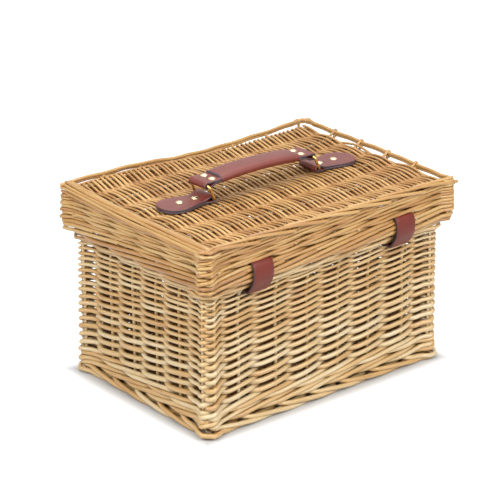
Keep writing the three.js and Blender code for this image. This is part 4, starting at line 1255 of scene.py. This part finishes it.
# A prong's shaft as (outward, up, thickness, width), and the thickness and width of its eye
PRONG_SHAFT = [
    (-2.6, -2, 1.5, 3.4), (-2.75, -5, 1.8, 3.4), (-2.8, -10, 1.9, 3.4), (-2.8, -18, 1.9, 3.4),
    (-2.8, -26, 1.8, 3.4), (-2.75, -30, 1.7, 3.2), (-2.6, -31.5, 1.4, 2.8), (-2.5, -32.4, 0.9, 1.8),
]
PRONG_EYE = (1.3, 3.4)


def build_prong(side, x):
    """Flat brass prong: an eye bent round the buckle's upper bar and a shaft that rests on its lower bar."""
    eye = FOLD_BORE + PRONG_EYE[0] / 2
    arc = [math.radians(degrees) for degrees in range(-70, 181, 25)]
    line = [(eye * math.cos(angle), eye * math.sin(angle), *PRONG_EYE) for angle in arc]
    out, up, thickness, widths = np.array(line + PRONG_SHAFT).T
    path = np.stack([np.full(len(out), x), BUCKLE_Y + out, BUCKLE_Z + up], axis=1)
    looks = {"rounding": 0.6, "materials": (RING_BRASS, RING_BRASS)}
    piece = strap(f"buckle_prong_{side}_wire", path, (1, 0, 0), widths, thickness, **looks)
    dress(piece, f"prong_{side}", "ring_brass", f"buckle_prong_{side}")


HOLES, HOLE_RADIUS, FIRST_HOLE, HOLE_PITCH = 4, 1.9, 16, 11
STRAP_RIVET_DROP = 10


def build_front_strap(side, x):
    """Strap riveted to the basket's front, hanging straight, with its row of holes and round tip."""
    y = STRAP_BACK_Y - STRAP_THICKNESS / 2
    tip = STRAP_ROUND_Z - STRAP_ROUND * np.sin(np.linspace(0.08, 1.56, 12))
    z = np.concatenate([np.linspace(STRAP_TOP_Z, STRAP_ROUND_Z, 60), tip])
    past = np.maximum(STRAP_ROUND_Z - z, 0) / (STRAP_ROUND + 0.05)
    path = [(x, y, height) for height in z]
    widths = STRAP_WIDTH * np.sqrt(1 - past**2)
    piece = strap(f"strap_{side}_leather", path, (-1, 0, 0), widths, STRAP_THICKNESS)
    heights = [STRAP_TIP_Z + FIRST_HOLE + HOLE_PITCH * i for i in range(HOLES)]
    cut_through(piece, [round_tool("hole", (x, y, height), HOLE_RADIUS, 12) for height in heights])
    face_y = STRAP_BACK_Y - STRAP_THICKNESS
    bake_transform(piece)
    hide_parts(f"strap_anchor_{side}", f"strap_tail_{side}")
    grip = STRAP_THICKNESS + WALL_GRIP
    rivet_pair(f"strap_rivet_{side}", "basket", x, face_y, STRAP_TOP_Z - STRAP_RIVET_DROP, grip)


BUCKLE_WIDTH, BUCKLE_SPAN = 26.5, 30


def build_closures():
    """Chape, buckle, prong and strap of both closures."""
    for side, sign in SIDES:
        x = sign * STRAP_X
        build_chape(side, x)
        center = np.array([x, BUCKLE_Y, BUCKLE_Z - BUCKLE_SPAN / 2])
        wire_loop(f"buckle_frame_{side}", f"buckle_{side}", center, BUCKLE_WIDTH, BUCKLE_SPAN, (0, 0, 1))
        build_prong(side, x)
        build_front_strap(side, x)


# Stage, light and camera


FLOOR_GLOW = 0.9
# Half sides of the dark patch under the basket and the width of its fading edge, in metres
PATCH_X, PATCH_Y, PATCH_FADE = 0.166, 0.116, 0.03
FLOOR_HALF = 12000
AMBIENT = 0.2
# Lamps as (name, azimuth, elevation, power), their distance and size in metres, and the point they look at
LAMPS = (("key", 100, 40, 28), ("fill", 187, 38, 29), ("top", 320, 72, 13))
LAMP_DISTANCE, LAMP_SIZE, LAMP_TARGET = 1.9, 1.2, (0, 0, 0.11)


def white_floor():
    """Pale floor that turns white for the camera away from the object, and keeps the object's shadow."""
    surface = Surface("pale_floor", {"Roughness": 0.9})
    place = surface.place()
    cloud = surface.noise(place, 6.0)
    surface.link(surface.ramp(cloud, (0.3, (0.5, 0.5, 0.5)), (0.7, (0.54, 0.54, 0.54))), "Base Color")
    axes = surface.node("ShaderNodeSeparateXYZ", {"Vector": place}).outputs
    past_x = surface.math("SUBTRACT", surface.math("ABSOLUTE", axes["X"]), PATCH_X)
    past_y = surface.math("SUBTRACT", surface.math("ABSOLUTE", axes["Y"]), PATCH_Y)
    clear = surface.math("MAXIMUM", past_x, past_y)
    inputs = {"Value": clear, "From Min": 0.0, "From Max": PATCH_FADE, "To Min": 0.0, "To Max": FLOOR_GLOW}
    open_floor = surface.node("ShaderNodeMapRange", inputs, interpolation_type="SMOOTHSTEP").outputs[0]
    strength = surface.math("MULTIPLY", surface.seen(), open_floor)
    glow = surface.node("ShaderNodeEmission", {"Strength": strength})
    total = surface.node("ShaderNodeAddShader", {0: surface.shader.outputs[0], 1: glow.outputs[0]})
    output = surface.tree.nodes["Material Output"]
    surface.tree.links.new(total.outputs[0], output.inputs["Surface"])
    return surface.material


def build_stage():
    """Floor and world, both white to the camera."""
    half = FLOOR_HALF
    corners = [(-half, -half, 0), (half, -half, 0), (half, half, 0), (-half, half, 0)]
    floor = make_piece("floor", corners, [[0, 1, 2, 3]], [white_floor()])
    world = bpy.data.worlds.new("studio")
    bpy.context.scene.world = world
    world.use_nodes = True
    sky = Nodes(world.node_tree)
    background = sky.tree.nodes["Background"]
    background.inputs["Color"].default_value = (1, 1, 1, 1)
    sky.tree.links.new(sky.range(sky.seen(), AMBIENT, 1.0), background.inputs["Strength"])


def aimed(name, data, place, ahead):
    """A lamp or camera at the place (metres) that looks ahead."""
    piece = bpy.data.objects.new(name, data)
    bpy.context.scene.collection.objects.link(piece)
    piece.location = place
    piece.rotation_mode = "QUATERNION"
    piece.rotation_quaternion = Vector(ahead).to_track_quat("-Z", "Y")
    return piece


def direction(azimuth, elevation):
    """Unit vector from the basket towards a viewer at these angles."""
    a, e = math.radians(azimuth), math.radians(elevation)
    return np.array([math.sin(a) * math.cos(e), -math.cos(a) * math.cos(e), math.sin(e)])


def build_lights():
    """Square lamps turned to the basket."""
    for name, azimuth, elevation, power in LAMPS:
        lamp = bpy.data.lights.new(name, "AREA")
        lamp.size = LAMP_SIZE
        lamp.energy = power
        place = direction(azimuth, elevation) * LAMP_DISTANCE
        aimed(name, lamp, place, LAMP_TARGET - place)


def build_camera():
    """The photograph's view, from behind the basket, above it and on its right."""
    azimuth, elevation = 140.33, 21.81
    distance, beside, above = 2.4198, -0.0095, 0.1298
    back = direction(azimuth, elevation)
    right = np.array([math.cos(math.radians(azimuth)), math.sin(math.radians(azimuth)), 0])
    up = np.cross(back, right)
    data = bpy.data.cameras.new("camera")
    data.sensor_width = 36
    data.lens = 151.2
    data.clip_start, data.clip_end = 0.05, 60
    place = back * distance + right * beside + up * above
    bpy.context.scene.camera = aimed("camera", data, place, -back)


bpy.context.scene.view_settings.view_transform = "Standard"
build_camera()
build_stage()
build_lights()
build_wall()
build_lid()
build_panel(
    "lid", half_x=167.6, edge_y=114.2, z=LID_PANEL_Z, spacing=3.2, radius=1.42,
    material=LID_WEAVE, body="lid", lift=edge_lift,
)
build_panel(
    "base", half_x=150.5, edge_y=97.2, z=BASE_PANEL_Z, spacing=3.8, radius=2.0,
    material=WEAVE, body="basket", lift=lambda x, y: 0 * x,
)
build_hinges()
build_tabs()
build_rings()
build_handle()
build_closures()
